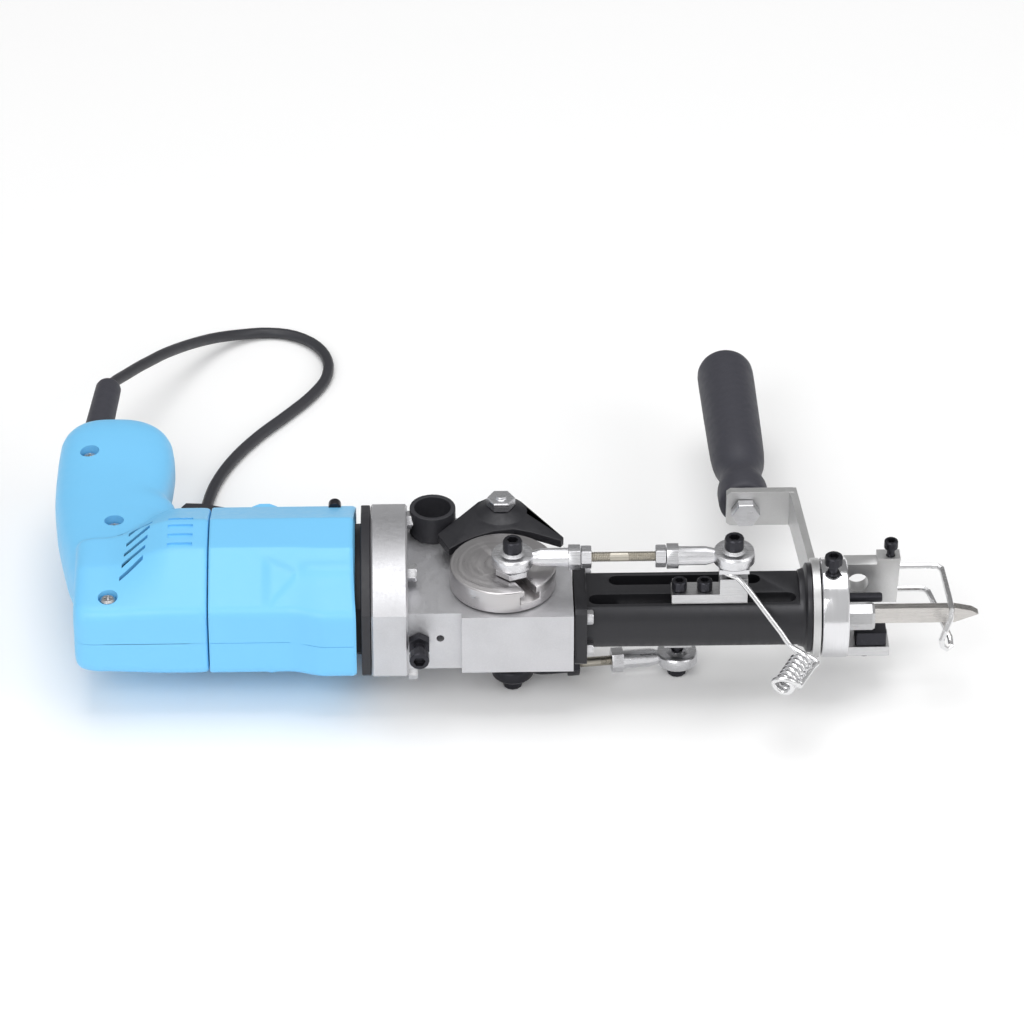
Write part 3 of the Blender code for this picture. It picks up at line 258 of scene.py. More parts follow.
# The record's material slot that each finish belongs to
SLOT_OF = {
    finish.material: slot
    for slot, finishes in {
        "blue_plastic": [BLUE],
        "black_plastic": [BLACK_PLASTIC],
        "black_rubber": [RUBBER, CORD],
        "cast_aluminium": [CAST],
        "bright_steel": [STEEL, DISC, STUD, NEEDLE],
        "zinc_steel": [ZINC, BRACKET],
        "chrome_steel": [CHROME, WIRE],
        "black_screw": [OXIDE],
        "black_barrel": [BARREL, PLATE],
    }.items()
    for finish in finishes
}


# ---------------------------------------------------------------- mesh helpers


def new_object(name, mesh, finish=None):
    made = bpy.data.objects.new(name, mesh)
    bpy.context.scene.collection.objects.link(made)
    if finish:
        mesh.materials.clear()
        mesh.materials.append(finish.material)
    return made


def from_bmesh(name, bm, finish=None, sharp=35):
    bmesh.ops.recalc_face_normals(bm, faces=bm.faces)
    mesh = bpy.data.meshes.new(name)
    bm.to_mesh(mesh)
    bm.free()
    mesh.shade_smooth()
    mesh.set_sharp_from_angle(angle=math.radians(sharp))
    return new_object(name, mesh, finish)


def loft(name, rings, finish=None, closed=False, sharp=35):
    """Skins rings of points given in the gun's millimetres."""
    bm = bmesh.new()
    loops = [[bm.verts.new(at(*p)) for p in ring] for ring in rings]
    pairs = list(zip(loops, loops[1:]))
    if closed:
        pairs.append((loops[-1], loops[0]))
    else:
        bm.faces.new(loops[0])
        bm.faces.new(loops[-1])
    count = len(loops[0])
    for first, second in pairs:
        for i in range(count):
            j = (i + 1) % count
            bm.faces.new((first[i], first[j], second[j], second[i]))
    return from_bmesh(name, bm, finish, sharp)


def circle(radius, sides=48):
    turns = [2 * math.pi * i / sides for i in range(sides)]
    return [(radius * math.cos(t), radius * math.sin(t)) for t in turns]


def squarish(half_width, half_height, sides, across_power, up_power):
    """An oval with fuller corners, between an ellipse (powers of 1) and a rectangle (0)."""
    return [
        (half_width * math.copysign(abs(c) ** across_power, c),
         half_height * math.copysign(abs(s) ** up_power, s))
        for c, s in circle(1.0, sides)
    ]


def across(axis, centre, along, p):
    """A point this far along an axis, and at p across it."""
    x, y, z = centre
    if axis == "X":
        return (x + along, y + p[0], z + p[1])
    if axis == "Y":
        return (x + p[0], y + along, z + p[1])
    return (x + p[0], y + p[1], z + along)


def lathe(name, axis, centre, profile, sides):
    """Turned from pairs of (distance along the axis, radius)."""
    return loft(name, [[across(axis, centre, a, p) for p in circle(r, sides)] for a, r in profile])


def prism(name, axis, outline, start, end):
    return loft(name, [[across(axis, (0, 0, 0), a, p) for p in outline] for a in (start, end)])


def baked(obj):
    """Applies every modifier."""
    graph = bpy.context.evaluated_depsgraph_get()
    mesh = bpy.data.meshes.new_from_object(obj.evaluated_get(graph), depsgraph=graph)
    obj.modifiers.clear()
    obj.data = mesh
    return obj


def boolean(target, *tools, operation="DIFFERENCE"):
    for tool in tools:
        modifier = target.modifiers.new(tool.name, "BOOLEAN")
        modifier.operation = operation
        modifier.object = tool
        modifier.solver = "EXACT"
    bpy.context.view_layer.update()
    baked(target)
    for tool in tools:
        bpy.data.objects.remove(tool)
    return target


def smooth(obj, sharp):
    obj.data.shade_smooth()
    obj.data.set_sharp_from_angle(angle=math.radians(sharp))
    return obj


def bevelled(obj, width, segments=2, flat=True):
    """Real rounded edges that catch the light.

    flat keeps the faces between them flat, and is off for round pieces.
    """
    modifier = obj.modifiers.new("edges", "BEVEL")
    modifier.width = width * 0.001
    modifier.segments = segments
    modifier.limit_method = "ANGLE"
    modifier.angle_limit = math.radians(28)
    modifier.use_clamp_overlap = True
    modifier.harden_normals = flat
    smooth(obj, 24)
    bpy.context.view_layer.update()
    return baked(obj) if flat else smooth(baked(obj), 24)


def finer(node, finish, width, segments=2, flat=True):
    """A copy of a CAD node with its flat faces merged and its edges rounded, in its place."""
    mesh = NODES[node].data.copy()
    bm = bmesh.new()
    bm.from_mesh(mesh)
    bmesh.ops.remove_doubles(bm, verts=bm.verts, dist=1e-6)
    bmesh.ops.dissolve_limit(bm, angle_limit=math.radians(0.6), verts=bm.verts, edges=bm.edges)
    bm.to_mesh(mesh)
    bm.free()
    made = new_object(node + "_finished", mesh, finish)
    bevelled(made, width, segments, flat)
    return put(made, BODY_OF[node], node)


def plain(node, finish):
    """A CAD node as it is, with a finish."""
    mesh = NODES[node].data
    if mesh.materials:
        mesh.materials[0] = finish.material
    else:
        mesh.materials.append(finish.material)


def put(obj, body, *nodes):
    """Makes a piece ride on its body and stand in for CAD nodes."""
    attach(obj, body)
    if nodes:
        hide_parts(*nodes)
    return obj


def painted(obj, finish, sharp):
    """One finish all over, also on the faces that a boolean has cut."""
    obj.data.materials.clear()
    obj.data.materials.append(finish.material)
    smooth(obj, sharp)


def joined(name, parts, finish):
    """Several separate meshes as one piece."""
    bm = bmesh.new()
    for part in parts:
        bm.from_mesh(part.data)
        bpy.data.objects.remove(part)
    mesh = bpy.data.meshes.new(name)
    bm.to_mesh(mesh)
    bm.free()
    return smooth(new_object(name, mesh, finish), 32)


def hexagon(width, per_side):
    """A hexagon this wide across its flats, with so many points to a side."""
    corners = circle(width / math.sqrt(3), 6)
    ring = []
    for a, b in zip(corners, corners[1:] + corners[:1]):
        for k in range(per_side):
            t = k / per_side
            ring.append((a[0] + (b[0] - a[0]) * t, a[1] + (b[1] - a[1]) * t))
    return ring


def socket_head(name, axis, centre, facing, radius, height, shank=(0, 0)):
    """A socket head cap screw with a knurled head; facing is +1 or -1."""
    sides, levels = 72, 9
    rings = []
    shank_r, reach = shank
    if reach:
        rings += [(-reach, circle(shank_r, sides)), (0, circle(shank_r, sides))]
    rings.append((0, circle(radius - 0.15, sides)))
    knurls = [(p * (1.0 - 0.015 * (i % 2)), q * (1.0 - 0.015 * (i % 2)))
              for i, (p, q) in enumerate(circle(radius, sides))]
    rings += [(0.25 + (height - 1.0) * level / (levels - 1), knurls) for level in range(levels)]
    opening = hexagon(radius * 1.04, sides // 6)
    rings += [
        (height - 0.35, circle(radius - 0.1, sides)), (height, circle(radius - 0.5, sides)),
        (height, [(p * 1.06, q * 1.06) for p, q in opening]), (height - 0.25, opening),
        (height * 0.45, opening), (height * 0.36, circle(0.3, sides)),
    ]
    placed = [[across(axis, centre, facing * a, p) for p in ring] for a, ring in rings]
    return loft(name, placed, OXIDE, sharp=40)


def hex_head(name, x, y, z, width, height):
    """A hexagon head that faces +X, with the corners of its face rounded off."""
    per_side = 8
    full = hexagon(width, per_side)
    worn = []
    for p, q in full:
        k = min(1.0, width * 0.49 / math.hypot(p, q))
        worn.append((p * k, q * k))
    rings = [
        (0, full), (height * 0.72, full), (height * 0.86, full), (height, worn),
        (height, circle(width * 0.275, per_side * 6)),
    ]
    placed = [[(x + a, y + p, z + q) for p, q in ring] for a, ring in rings]
    return loft(name, placed, ZINC, sharp=30)


def thread(name, place, start, end, plain_span):
    """A threaded rod. place turns (distance along, across, across) into the gun's millimetres."""
    radius, pitch, depth = 2.6, 0.9, 0.45
    sides, steps = 30, 8
    rings = [[place(start, p, q) for p, q in circle(radius - depth, sides)]]
    count = round((end - start) / pitch * steps)
    for n in range(1, count):
        x = start + (end - start) * n / count
        ring = []
        for i in range(sides):
            turn = 2 * math.pi * i / sides
            phase = (x / pitch - i / sides) % 1.0
            cut = depth * (1 - abs(phase * 2 - 1) ** 0.8)
            fade = min(1.0, (x - start) / pitch, (end - x) / pitch)
            if plain_span[0] < x < plain_span[1]:
                r = radius * 0.93
            else:
                r = radius - depth + (depth - cut) * fade
            ring.append(place(x, r * math.cos(turn), r * math.sin(turn)))
        rings.append(ring)
    rings.append([place(end, p, q) for p, q in circle(radius - depth, sides)])
    return loft(name, rings, STUD, sharp=60)


def curve(name, points, radius, finish):
    data = bpy.data.curves.new(name, "CURVE")
    data.dimensions = "3D"
    data.bevel_depth = radius * 0.001
    data.bevel_resolution = 5
    data.use_fill_caps = True
    spline = data.splines.new("POLY")
    spline.points.add(len(points) - 1)
    for target, point in zip(spline.points, points):
        target.co = (*at(*point), 1.0)
    spline.use_smooth = True
    data.materials.append(finish.material)
    made = bpy.data.objects.new(name, data)
    bpy.context.scene.collection.objects.link(made)
    return made


def smooth_line(points, step):
    """A Catmull-Rom curve through the points, at even steps."""
    ends = [2 * Vector(points[0]) - Vector(points[1])]
    through = ends + [Vector(p) for p in points]
    through.append(2 * Vector(points[-1]) - Vector(points[-2]))
    fine = []
    for a, b, c, d in zip(through, through[1:], through[2:], through[3:]):
        for t in (i / 24 for i in range(24)):
            fine.append(
                0.5 * (2 * b + (c - a) * t + (2 * a - 5 * b + 4 * c - d) * t**2
                       + (3 * b - a - 3 * c + d) * t**3)
            )
    fine.append(through[-2])
    length = sum((q - p).length for p, q in zip(fine, fine[1:]))
    spacing = length / round(length / step)
    line, walked = [fine[0]], 0.0
    for p, q in zip(fine, fine[1:]):
        walked += (q - p).length
        if walked >= spacing:
            line.append(q)
            walked = 0.0
    line[-1] = fine[-1]
    return line


# ---------------------------------------------------------------- mains cord

CORD_R = 3.0
COIL_CENTRE = (-112.0, 94.0)
COIL_MEAN_R, CORD_PITCH = 33.0, 6.15
LOWER_TURNS, UPPER_TURNS = 4.0, 3.22
CORD_ROUTE = [
    (-205.0, 209.3, 0.0), (-202.0, 218.0, -2.2), (-196.6, 230.0, -5.8), (-190.6, 243.0, -9.6),
    (-184.0, 256.0, -13.6), (-177.2, 269.1, -17.8), (-165.6, 290.0, -26.0), (-152.6, 309.0, -34.2),
    (-139.0, 321.0, -39.8), (-124.0, 326.0, -42.0), (-109.3, 322.8, -42.0), (-97.0, 312.6, -42.0),
    (-90.4, 297.0, -42.0), (-91.2, 279.0, -42.0), (-99.5, 261.0, -42.0), (-112.0, 243.0, -42.0),
    (-127.0, 223.0, -42.0), (-140.0, 201.0, -42.0), (-149.0, 178.0, -42.0), (-153.3, 155.0, -42.0),
    (-154.3, 136.0, -42.0), (-154.3, 117.8, -42.0),
]
NOSE = (-52.5, 84.0)  # where the cord goes into its plug


def mains_cord():
    """Out of the grip, over the floor, inwards in a flat coil, outwards on top, to the plug."""
    line = smooth_line(CORD_ROUTE, 5.0)
    outer = COIL_MEAN_R + 1.5 * CORD_PITCH
    inner = COIL_MEAN_R - 1.5 * CORD_PITCH
    line.append(Vector((COIL_CENTRE[0] - outer, COIL_CENTRE[1] + 12, FLOOR_Z + CORD_R)))
    layers = [(outer, inner, LOWER_TURNS), (inner, outer, UPPER_TURNS)]
    for layer, (first, last, turns) in enumerate(layers):
        count = round(turns * 32)
        for i in range(count + 1):
            share = i / count
            turn = math.pi + 2 * math.pi * (share * turns + layer * LOWER_TURNS)
            radius = first + (last - first) * share
            lift = layer * min(1.0, share * 7)
            line.append(Vector((
                COIL_CENTRE[0] + radius * math.cos(turn),
                COIL_CENTRE[1] + radius * math.sin(turn),
                FLOOR_Z + CORD_R + CORD_PITCH * lift,
            )))
    leave = line[-1]
    bend = Vector((-76.5, 84.0, FLOOR_Z + CORD_R))
    tail = [leave, leave + Vector((13, 0.4, -2.2))]
    for k in range(6):
        turn = math.radians(-86 + 86 * k / 5)
        tail.append(bend + Vector((24 * math.cos(turn), 24 * math.sin(turn), 0)))
    tail.append(Vector((NOSE[0], NOSE[1] + 3, FLOOR_Z + CORD_R)))
    line += smooth_line(tail, 5.0)[1:]
    cord = curve("mains_cord", line, CORD_R, CORD)
    length = sum((b - a).length for a, b in zip(line, line[1:])) / 1000
    put(cord, "frame", "cord_lead", "cord_coil")
    return cord, length


def plug():
    middle = FLOOR_Z + 8.0
    # along the plug, half its width, half its height and the height of its middle
    shape = [
        (2, 3.5, 3.1, -41.9), (3, 4.4, 3.0, -42), (5, 4.5, 3.0, -42), (5.6, 3.9, 2.9, -42.1),
        (7, 3.9, 2.9, -42.1), (7.6, 4.6, 3.0, -42), (9.6, 4.7, 3.0, -42), (10.2, 4.2, 2.9, -42.1),
        (11.4, 4.3, 2.9, -42.1), (12, 5.0, 3.0, -42), (13, 6.2, 4.4, -40.6), (15, 8.6, 6.4, -38.6),
        (18, 11.4, 7.6, middle), (22, 12.2, 8.0, middle), (30, 12.4, 8.0, middle),
        (33, 12.1, 7.8, middle), (34, 11.2, 7.0, middle),
    ]
    rings = [
        [(NOSE[0] + p, NOSE[1] + along, z + q) for p, q in squarish(width, height, 48, 0.75, 0.75)]
        for along, width, height, z in shape
    ]
    body = loft("plug_body", rings, RUBBER, sharp=50)
    put(body, "frame", "mains_plug")
    pins = []
    for n in (-1, 1):
        profile = [(33.5, 2.0), (52.8, 2.0), (53.6, 1.5), (53.9, 0.6)]
        pins.append(lathe(f"pin_{n}", "Y", (NOSE[0] + n * 6.35, NOSE[1], middle), profile, 32))
    pin_pair = joined("plug_pins", pins, NEEDLE)
    put(pin_pair, "frame")
    return [body, pin_pair]


cord, cord_length = mains_cord()
at(*CORD_ROUTE[0])
plug()


# ---------------------------------------------------------------- blue shells


def filleted(corners, radii, steps=6):
    """A closed outline with rounded corners."""
    points = []
    count = len(corners)
    for i in range(count):
        before, here, after = (Vector(corners[(i + k) % count]) for k in (-1, 0, 1))
        u, v = (before - here).normalized(), (after - here).normalized()
        half = math.acos(max(-1.0, min(1.0, u.dot(v)))) / 2
        room = 0.45 * min((before - here).length, (after - here).length)
        reach = min(radii[i] / math.tan(half), room)
        radius = reach * math.tan(half)
        centre = here + (u + v).normalized() * (radius / math.sin(half))
        start, end = here + u * reach - centre, here + v * reach - centre
        angle = start.angle_signed(end)
        for k in range(steps + 1):
            points.append(tuple(centre + Matrix.Rotation(-angle * k / steps, 2) @ start))
    return points


# The body's section: the Y of its middle, half its depth and half its thickness
BODY_Y, BODY_REACH, BODY_HALF = 22.0, 46.7, 34.3
# The ends of the front shell
REAR_X, FRONT_X = -146.2, -73.1


def section(inset, soft=4.0, sink=0.0):
    """The body's outline across the gun, (Y, Z). sink lowers its upper rear corner."""
    corners = [(-24.7, 18.6), (9.3, 34.1), (34.7, 34.1), (68.6, 18.2)]
    whole = corners + [(y, -z) for y, z in reversed(corners)]
    moved = []
    for y, z in whole:
        y -= max(0.0, y - 34.7) * sink
        z *= 1 - 0.5 * sink * smoothstep(-14, 12, y)
        moved.append((
            BODY_Y + (y - BODY_Y) * (1 - inset / BODY_REACH), z * (1 - inset / BODY_HALF)
        ))
    return filleted(moved, [soft * 1.6] + [soft] * 6 + [soft * 1.6])


def section_at(x, *shape, **sunk):
    return [(x, y, z) for y, z in section(*shape, **sunk)]


def dense(outline):
    """The same outline with points all along its straight runs."""
    step = 2.4
    points = []
    for a, b in zip(outline, outline[1:] + outline[:1]):
        count = max(1, round(math.dist(a, b) / step))
        points += [tuple(p + (q - p) * k / count for p, q in zip(a, b)) for k in range(count)]
    return points


def smoothstep(low, high, value):
    t = max(0.0, min(1.0, (value - low) / (high - low)))  # low may be the greater
    return t * t * (3 - 2 * t)


def emboss(x, y, z):
    """Height of the raised arrow on each side of the front shell, in millimetres."""
    level = 0.566 * y + 0.824 * abs(z)
    front = smoothstep(-121, -114, x)
    upper = smoothstep(0, 4, 31 - (x + 120) * 0.45 - level)
    lower = smoothstep(0, 4, level - (3 + max(0.0, x + 116) * 1.05))
    ridge = smoothstep(-104, -96, x) * smoothstep(4.2, 0.5, abs(level - 22.5))
    return 1.5 * max(front * upper * lower * smoothstep(-98, -106, x), ridge * 0.75)


def flared(x, y):
    """Y on the front shell, whose lower side widens towards the gearbox."""
    return y - 4.6 * smoothstep(-107, -88, x) * max(0.0, (BODY_Y - y) / BODY_REACH)


def front_shell():
    rings = []
    stations = 84
    for i in range(stations + 1):
        x = REAR_X + (FRONT_X - REAR_X) * i / stations
        edge = 0.5 * smoothstep(-145.2, REAR_X, x) + 0.9 * smoothstep(-74.6, FRONT_X, x)
        bow = 1.56 * smoothstep(-90, FRONT_X, x)
        ring = []
        for y, z in dense(section(edge)):
            y = flared(x, y)
            lift = emboss(x, y, z) if y < 14 else 0.0
            k = 1 + lift / math.hypot(y - BODY_Y, z)
            outwards = ((y - 20) / 49) ** 2
            ring.append((x - bow * (1 - outwards), BODY_Y + (y - BODY_Y) * k, z * k))
        rings.append(ring)
    # back along the inside of the wall
    for x in (-73.6, REAR_X):
        rings.append([
            (x, BODY_Y + (flared(x, y) - BODY_Y) * 0.94, z * 0.92) for y, z in dense(section(0.5))
        ])
    shell = loft("front_shell", rings, closed=True)
    # the lugs that carry the trigger
    outline = filleted(
        [(-129, 64), (-111, 64), (-113.5, 78), (-117.5, 80.6), (-122.5, 80.6), (-126.5, 78)],
        [1] * 6, 4,
    )
    lugs = [prism(f"lug_{side}", "Z", outline, side * 8, side * 11.5) for side in (-1, 1)]
    boolean(shell, *lugs, operation="UNION")
    pin_hole = lathe("pin_hole", "Z", (-120, 74.4, 0), [(-14, 2.9), (14, 2.9)], 32)
    # the parting line, cut along the underside
    below = [(-150, -32), (-70, -32), (-70, -28.9), (-88, -28.9), (-107, -24.35), (-150, -24.35)]
    groove = prism("groove", "Z", below, -0.14, 0.14)
    boolean(shell, pin_hole)
    boolean(shell, groove)
    painted(shell, BLUE, 24)
    return put(shell, "frame", "motor_housing")


# Y, rear X, front X and half thickness of the grip, from the body to its end
GRIP = [
    (-16, -205.5, -158, 17.0), (-12, -207, -156, 18.0), (5, -212, -150, 20.5), (18, -215.5, -149.5, 21.0),
    (30, -219, -149, 20.5), (43, -221.5, -150, 19.8), (55, -223.6, -154, 18.8), (66, -225.4, -162, 18.0),
    (72, -226.0, -164.2, 17.6), (78, -226.6, -164.4, 17.3), (84, -227.2, -165.0, 17.0),
    (88.5, -227.6, -167.6, 16.8), (93, -227.9, -169.6, 16.7), (100, -228.1, -169.0, 16.5),
    (110, -228.2, -167.9, 16.4), (124, -228.0, -167.2, 16.7), (133, -227.7, -167.6, 16.9),
    (143, -227.2, -168.9, 16.7), (149, -225.8, -171.2, 16.1), (153.5, -223.6, -174.4, 15.2),
    (157, -220.8, -178.4, 13.8), (159.2, -217.4, -183.4, 12.0), (160.6, -212.6, -190.0, 9.0),
]
# X, Y and seat height
SHELL_SCREWS = [(-210.9, 124.2, 10.0), (-195.6, 57.0, 12.0), (-196.0, -13.0, 17.0)]


def grip_ring(y, rear, front, half, inset=0.0):
    middle, reach = (rear + front) / 2, (front - rear) / 2 - inset
    return [(middle + p, y, q) for p, q in squarish(reach, max(half - inset, 2.0), 56, 0.72, 0.66)]


def rear_shells():
    """The body's rear and the grip, blended into one skin, then split, vented and bored."""
    most_sink = 0.62
    rounding = [(-213.4, 6.5), (-212.9, 4.2), (-211.6, 2.2), (-209.4, 0.9), (-206.4, 0.2)]
    rings = [section_at(x, shrink, 5.0, most_sink) for x, shrink in rounding]
    for i in range(20):
        x = -203 + (203 - 146.7) * i / 19
        sink = most_sink * smoothstep(-163, -200, x)
        rings.append(section_at(x, 0.5 * smoothstep(-147.6, -146.7, x), sink=sink))
    body = loft("rear_body", rings)
    boolean(body, loft("grip_body", [grip_ring(*row) for row in GRIP]), operation="UNION")
    remesh = body.modifiers.new("skin", "REMESH")
    remesh.mode = "VOXEL"
    remesh.voxel_size = 0.0011
    relax = body.modifiers.new("relax", "SMOOTH")
    relax.factor = 0.5
    relax.iterations = 9
    bpy.context.view_layer.update()
    baked(body)
    wall = 3.2
    hollow = loft("body_hollow", [
        section_at(x, wall, sink=sink) for x, sink in ((-206, 0.66), (-163, 0.0), (-140, 0.0))
    ])
    rows = [row for row in GRIP if 18 <= row[0] <= 154]
    grip_hollow = loft("grip_hollow", [grip_ring(*row, inset=wall) for row in rows])
    for n, cavity in enumerate((hollow, grip_hollow)):
        pillars = [
            lathe(f"pillar_{n}_{y}_{side}", "Z", (x, y, 0), [(side * 0.2, 7.0), (side * 60, 7.0)], 40)
            for x, y, _ in SHELL_SCREWS for side in (-1, 1)
        ]
        boolean(cavity, *pillars)
    mouth = lathe("cord_mouth", "Y", (-210.0, 0, 0), [(147, 6.6), (166, 6.6)], 48)
    boolean(body, hollow, grip_hollow, mouth)
    # square off the end that meets the front shell
    trim = prism("trim", "X", [(-60, -60), (100, -60), (100, 60), (-60, 60)], -146.6, -130)
    boolean(body, trim)
    cutters = []
    for i in range(5):
        x, y = -189.6 + 0.9 * i, -1.0 + 8.4 * i
        outline = [(x - 1.0, y - 1.9), (x + 10.6, y + 8.0), (x + 10.6, y + 11.0), (x - 1.0, y + 0.9)]
        cutters.append(prism(f"slant_{i}", "Z", outline, 12, 45))
    for i, depth_z in enumerate((32.9, 32.9, 32.9, 31.5)):
        y = 11.0 + 8.0 * i
        outline = [(-167.0, y), (-154.5, y), (-154.5, y + 3.4), (-167.0, y + 3.4)]
        cutters.append(prism(f"rib_{i}", "Z", outline, depth_z, 45))
    for x, y, seat in SHELL_SCREWS:
        bore = [(-1.0, 2.1), (seat - 0.2, 2.1), (seat - 0.2, 5.0), (45, 5.0)]
        cutters.append(lathe(f"bore_{y}", "Z", (x, y, 0), bore, 40))
    boolean(body, *cutters)
    halves = []
    for label, side in (("left", 1), ("right", -1)):
        half = new_object(f"rear_shell_{label}", body.data.copy())
        low, high = sorted((side * -0.13, side * -60))
        whole = [(-240, -60), (-120, -60), (-120, 200), (-240, 200)]
        boolean(half, prism(f"away_{label}", "Z", whole, low, high))
        painted(half, BLUE, 30)
        halves.append(put(half, "frame", f"handle_shell_{label}"))
    bpy.data.objects.remove(body)
    return halves


front_shell()
rear_shells()

for key in ("end", "middle", "rear"):
    finer(f"shell_screw_{key}", STEEL, 0.12)


# ---------------------------------------------------------------- the rest of the frame

plain("switch_module", BLACK_PLASTIC)
plain("motor_stator", LAMINATION)
plain("rear_motor_bearing", STEEL)
plain("front_motor_bearing", STEEL)
plain("armature_shaft", STEEL)
plain("armature_core", BRONZE)
plain("worm_wheel", BRONZE)
plain("cooling_fan", BLACK_PLASTIC)
finer("trigger", BLACK_PLASTIC, 1.2, 3)
finer("front_baffle", BLACK_PLASTIC, 0.5)
finer("gearbox_housing", CAST, 0.6, 3)
finer("hanger_tube", BLACK_PLASTIC, 0.35, flat=False)
finer("disc_guard", PLATE, 0.45, flat=False)
finer("crankshaft", STEEL, 0.3, flat=False)
finer("crank_disc_left", DISC, 0.3, flat=False)
finer("crank_disc_right", DISC, 0.3, flat=False)
finer("barrel", BARREL, 0.35, flat=False)
finer("clamp_collar", CHROME, 0.4, flat=False)
finer("foot_bar", BRACKET, 0.5)
finer("lower_bracket", STEEL, 0.4)
finer("needle_carriage", STEEL, 0.35)
finer("looper_carriage", STEEL, 0.35)
finer("wrist_spacer", ZINC, 0.35)
finer("needle_holder", STEEL, 0.25)
finer("needle", NEEDLE, 0.18)
finer("needle_crank_nut", ZINC, 0.3)
finer("handle_bracket", BRACKET, 0.4)
finer("guard_stud", ZINC, 0.3)
finer("needle_bar", STEEL, 0.3, flat=False)
finer("looper_bar", OXIDE, 0.2, flat=False)
for node in ("needle_rod_end_rear", "needle_rod_end_front", "looper_rod_end_front"):
    finer(node, ZINC, 0.25, flat=False)
finer("looper_rod_end_rear", OXIDE, 0.25, flat=False)
finer("needle_lock_nut_rear", ZINC, 0.3)
finer("needle_lock_nut_front", ZINC, 0.3)
for node in ("stop_screw", "carriage_screw_1", "carriage_screw_2", "needle_crank_screw",
             "needle_wrist_screw", "looper_crank_screw", "looper_wrist_screw", "collar_screw"):
    finer(node, OXIDE, 0.2)
finer("handle_bolt", ZINC, 0.3)
plain("presser_foot", WIRE)


def stud(node, pin, wrist, height):
    """A stud with a thread at each end and a plain middle to turn it by."""
    start, end = Vector((*pin, height)), Vector((*wrist, height))
    run = (end - start).normalized()
    side, length = Vector((-run.y, run.x, 0)), (end - start).length
    middle = length / 2

    def place(a, p, q):
        return start + run * a + side * p + Vector((0, 0, q))

    rod = thread(node + "_thread", place, 22.5, length - 22.5, (middle - 6.5, middle + 2.5))
    return put(rod, BODY_OF[node], node)


stud("needle_rod_stud", (4.7, -8), (114.4, -8), 38.0)
stud("looper_rod_stud", (4.9, -1), (88, 8), -34.4)


def helix_guide():
    """The sprung yarn guide: clamped at the wrist, down past its coil, and wound back up."""
    near, far = Vector((147.8, -37.5, -4.6)), Vector((136.2, -58.6, -7.2))
    axis = (far - near).normalized()
    out = axis.cross(Vector((0, 0, 1))).normalized()
    out = -out if out.x < 0 else out
    lift = axis.cross(out).normalized()
    lift = -lift if lift.z < 0 else lift
    coil_r, turns, length = 4.3, 7.25, (far - near).length
    hook = [(111.5, -3.3, 29.3), (109.4, -6.2, 29.3), (109.6, -10.2, 29.3), (112.6, -12.6, 29.2),
            (115.6, -13.4, 28.2), (118.6, -15.4, 26.2)]
    lead = [(123.0, -18.4, 21.6), (130.0, -23.3, 13.6), (137.0, -28.2, 5.6), (143.0, -32.4, -1.2)]
    shoulder = near + out * 7.0 - axis * 1.0
    run = [shoulder, near + out * 7.3 + axis * 4, near + out * 7.3 + axis * (length - 5)]
    line = smooth_line(hook + lead + [tuple(p) for p in run], 1.0)
    count = round(turns * 30)
    for i in range(count + 1):
        share = i / count
        turn = 2 * math.pi * turns * share
        r = coil_r + 3.0 * max(0.0, 1 - share * turns * 1.6)
        along = length - (length - 1.0) * share + 1.6 * math.sin(min(math.pi, turn))
        along -= 5 * max(0.0, 1 - share * turns * 3)
        line.append(near + axis * along + out * r * math.cos(turn) + lift * r * math.sin(turn))
    return put(curve("yarn_guide_wire", line, 1.4, WIRE), "needle_slide", "yarn_guide")


helix_guide()


def tool_grip():
    """The front handle, smooth rubber, leaning a little from square to its bracket."""
    lean = Matrix.Rotation(math.radians(1.6), 3, "Z")
    seat = Vector((126, 92, -0.6))
    # Y and radius
    shape = [
        (92.6, 11.2), (92.8, 12.0), (93.6, 12.7), (96, 12.95), (103, 13.05), (106, 12.7), (109, 12.0),
        (112, 11.3), (115, 10.9), (118, 10.85), (121, 11.4), (124, 12.3), (127, 13.1), (131, 13.7),
        (137, 14.1), (150, 14.35), (180, 14.7), (205, 14.9), (213, 14.85), (215.6, 14.6), (217.6, 13.9),
        (219.2, 12.9), (220.3, 11.6), (220.8, 10.2), (220.85, 4.0), (220.85, 0.5),
    ]
    rings = [[seat + lean @ Vector((p, a - seat.y, q)) for p, q in circle(r, 64)] for a, r in shape]
    return put(loft("front_grip", rings, RUBBER, sharp=60), "handle", "front_handle")


tool_grip()


def strain_relief():
    """The moulded sleeve where the cord leaves the grip."""
    start, end = Vector((-210.6, 149.5, 0)), Vector((-205.0, 209.0, 0))
    run = (end - start).normalized()
    side = Vector((run.y, -run.x, 0))
    size = (end - start).length
    # distance along the sleeve and radius, ending inside it
    shape = [
        (0.0, 5.8), (11.7, 5.8), (11.8, 6.9), (12.2, 7.3), (13.0, 7.45), (20, 7.4), (30, 7.2),
        (40, 7.05), (50, 6.9), (size - 2.4, 6.75), (size - 1.2, 6.4), (size - 0.4, 5.7),
        (size, 4.9), (size, 3.3), (size - 14, 3.3),
    ]
    rings = [
        [start + run * a + side * p + Vector((0, 0, q)) for p, q in circle(r, 48)] for a, r in shape
    ]
    return put(loft("cord_sleeve", rings, RUBBER, sharp=50), "frame", "strain_relief")


strain_relief()

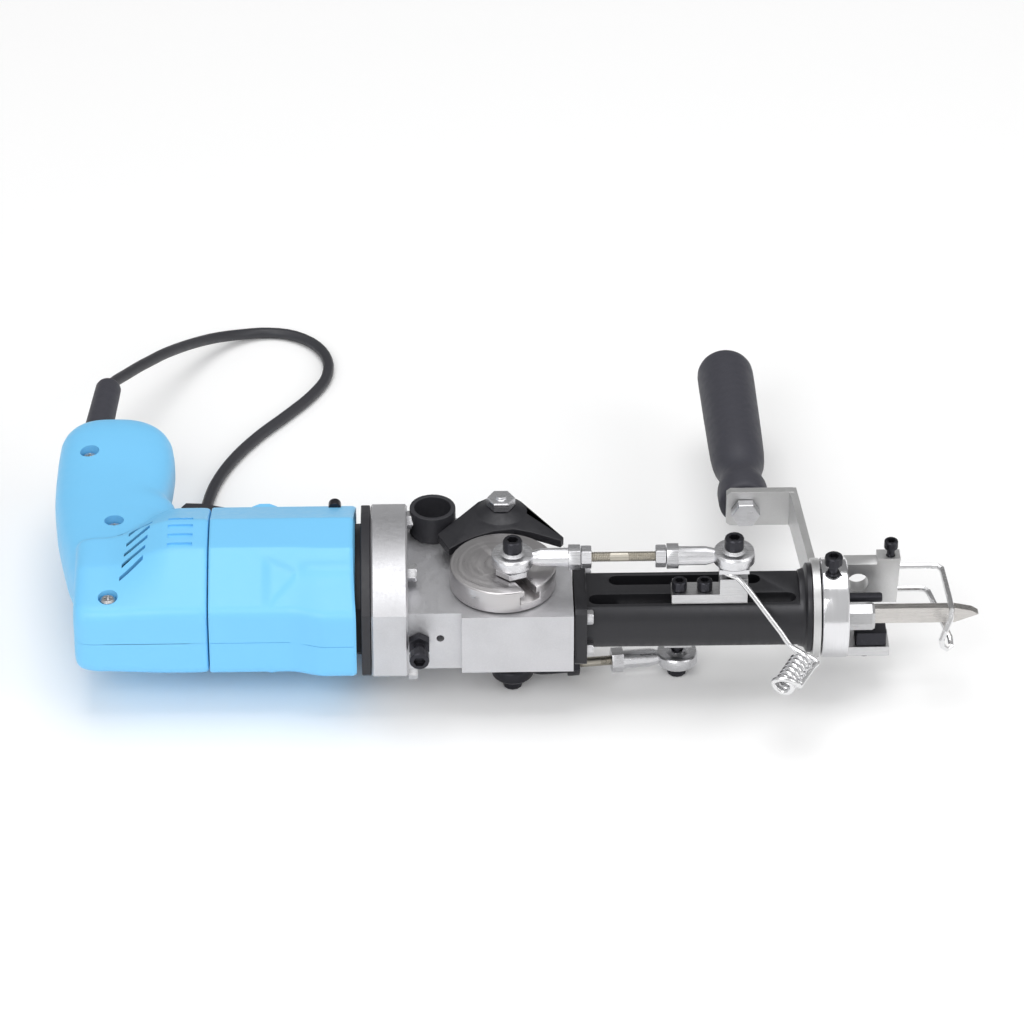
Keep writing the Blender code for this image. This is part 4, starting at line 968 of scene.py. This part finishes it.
# fastenings and small parts that the CAD leaves out
for y, z in [(1.5, 23.0), (-17.5, -23.0), (45.0, 25.0), (45.0, -25.0)]:
    put(hex_head(f"flange_screw_{y}_{z}", -47.4, y, z, 8.0, 4.6), "frame")
for y, z in [(-19.5, 9.5), (-19.5, -9.5), (20.5, 9.5), (20.5, -9.5)]:
    put(hex_head(f"barrel_screw_{y}_{z}", 41.4, y, z, 6.4, 3.2), "frame")
put(socket_head("foot_bar_screw", "Z", (195.4, 23.4, 19.6), 1, 3.5, 4.4, (2.0, 6.5)), "frame")
put(socket_head("cutter_screw", "Z", (181.5, -1.0, -24.0), -1, 4.0, 3.4), "frame")
cutter_outline = filleted([(176.5, -8.2), (192, -8.2), (192, 4.5), (176.5, 4.5)], [1] * 4, 2)
cutter = prism("cutter_block", "Z", cutter_outline, -18.4, -10.6)
cutter.data.materials.append(OXIDE.material)
put(bevelled(cutter, 0.5), "frame")
put(socket_head("side_cap_screw", "Y", (-84.0, 62.5, 20.4), 1, 3.2, 5.0), "frame")


# ---------------------------------------------------------------- floor and light

floor_mesh = bpy.data.meshes.new("floor")
floor_bm = bmesh.new()
bmesh.ops.create_grid(floor_bm, x_segments=1, y_segments=1, size=6.0)
floor_bm.to_mesh(floor_mesh)
floor_bm.free()
floor = new_object("floor", floor_mesh)
floor_finish = Finish("pale_floor", (0.98, 0.98, 0.98), 0.9)
floor_mesh.materials.append(floor_finish.material)


def softbox(name, place, aim, size, power):
    """A square area light; metres and watts."""
    data = bpy.data.lights.new(name, "AREA")
    data.shape = "SQUARE"
    data.size = size
    data.energy = power
    made = bpy.data.objects.new(name, data)
    bpy.context.scene.collection.objects.link(made)
    made.location = place
    made.rotation_euler = (Vector(aim) - Vector(place)).to_track_quat("-Z", "Y").to_euler()


softbox("key", (-0.8, -1.9, 1.7), (0, 0, 0.03), 1.3, 21)
softbox("fill", (1.6, -0.9, 1.1), (0, 0, 0.03), 1.1, 8)
softbox("top", (0.0, 0.3, 2.2), (0, 0.05, 0.03), 1.6, 19)
world = bpy.data.worlds.new("studio")
world.use_nodes = True
# bright towards the camera and darker beyond the gun, so that its metal has something to reflect
sky = world.node_tree.nodes
links = world.node_tree.links
split = sky.new("ShaderNodeSeparateXYZ")
fall = sky.new("ShaderNodeMapRange")
fall.interpolation_type = "SMOOTHSTEP"
for key, number in (("From Min", -0.1), ("From Max", 0.75), ("To Min", 0.62), ("To Max", 0.26)):
    fall.inputs[key].default_value = number
links.new(sky.new("ShaderNodeTexCoord").outputs["Generated"], split.inputs[0])
links.new(split.outputs["Y"], fall.inputs["Value"])
links.new(fall.outputs["Result"], sky["Background"].inputs["Strength"])
sky["Background"].inputs["Color"].default_value = (1, 1, 1, 1)
bpy.context.scene.view_settings.view_transform = "Standard"
bpy.context.scene.world = world
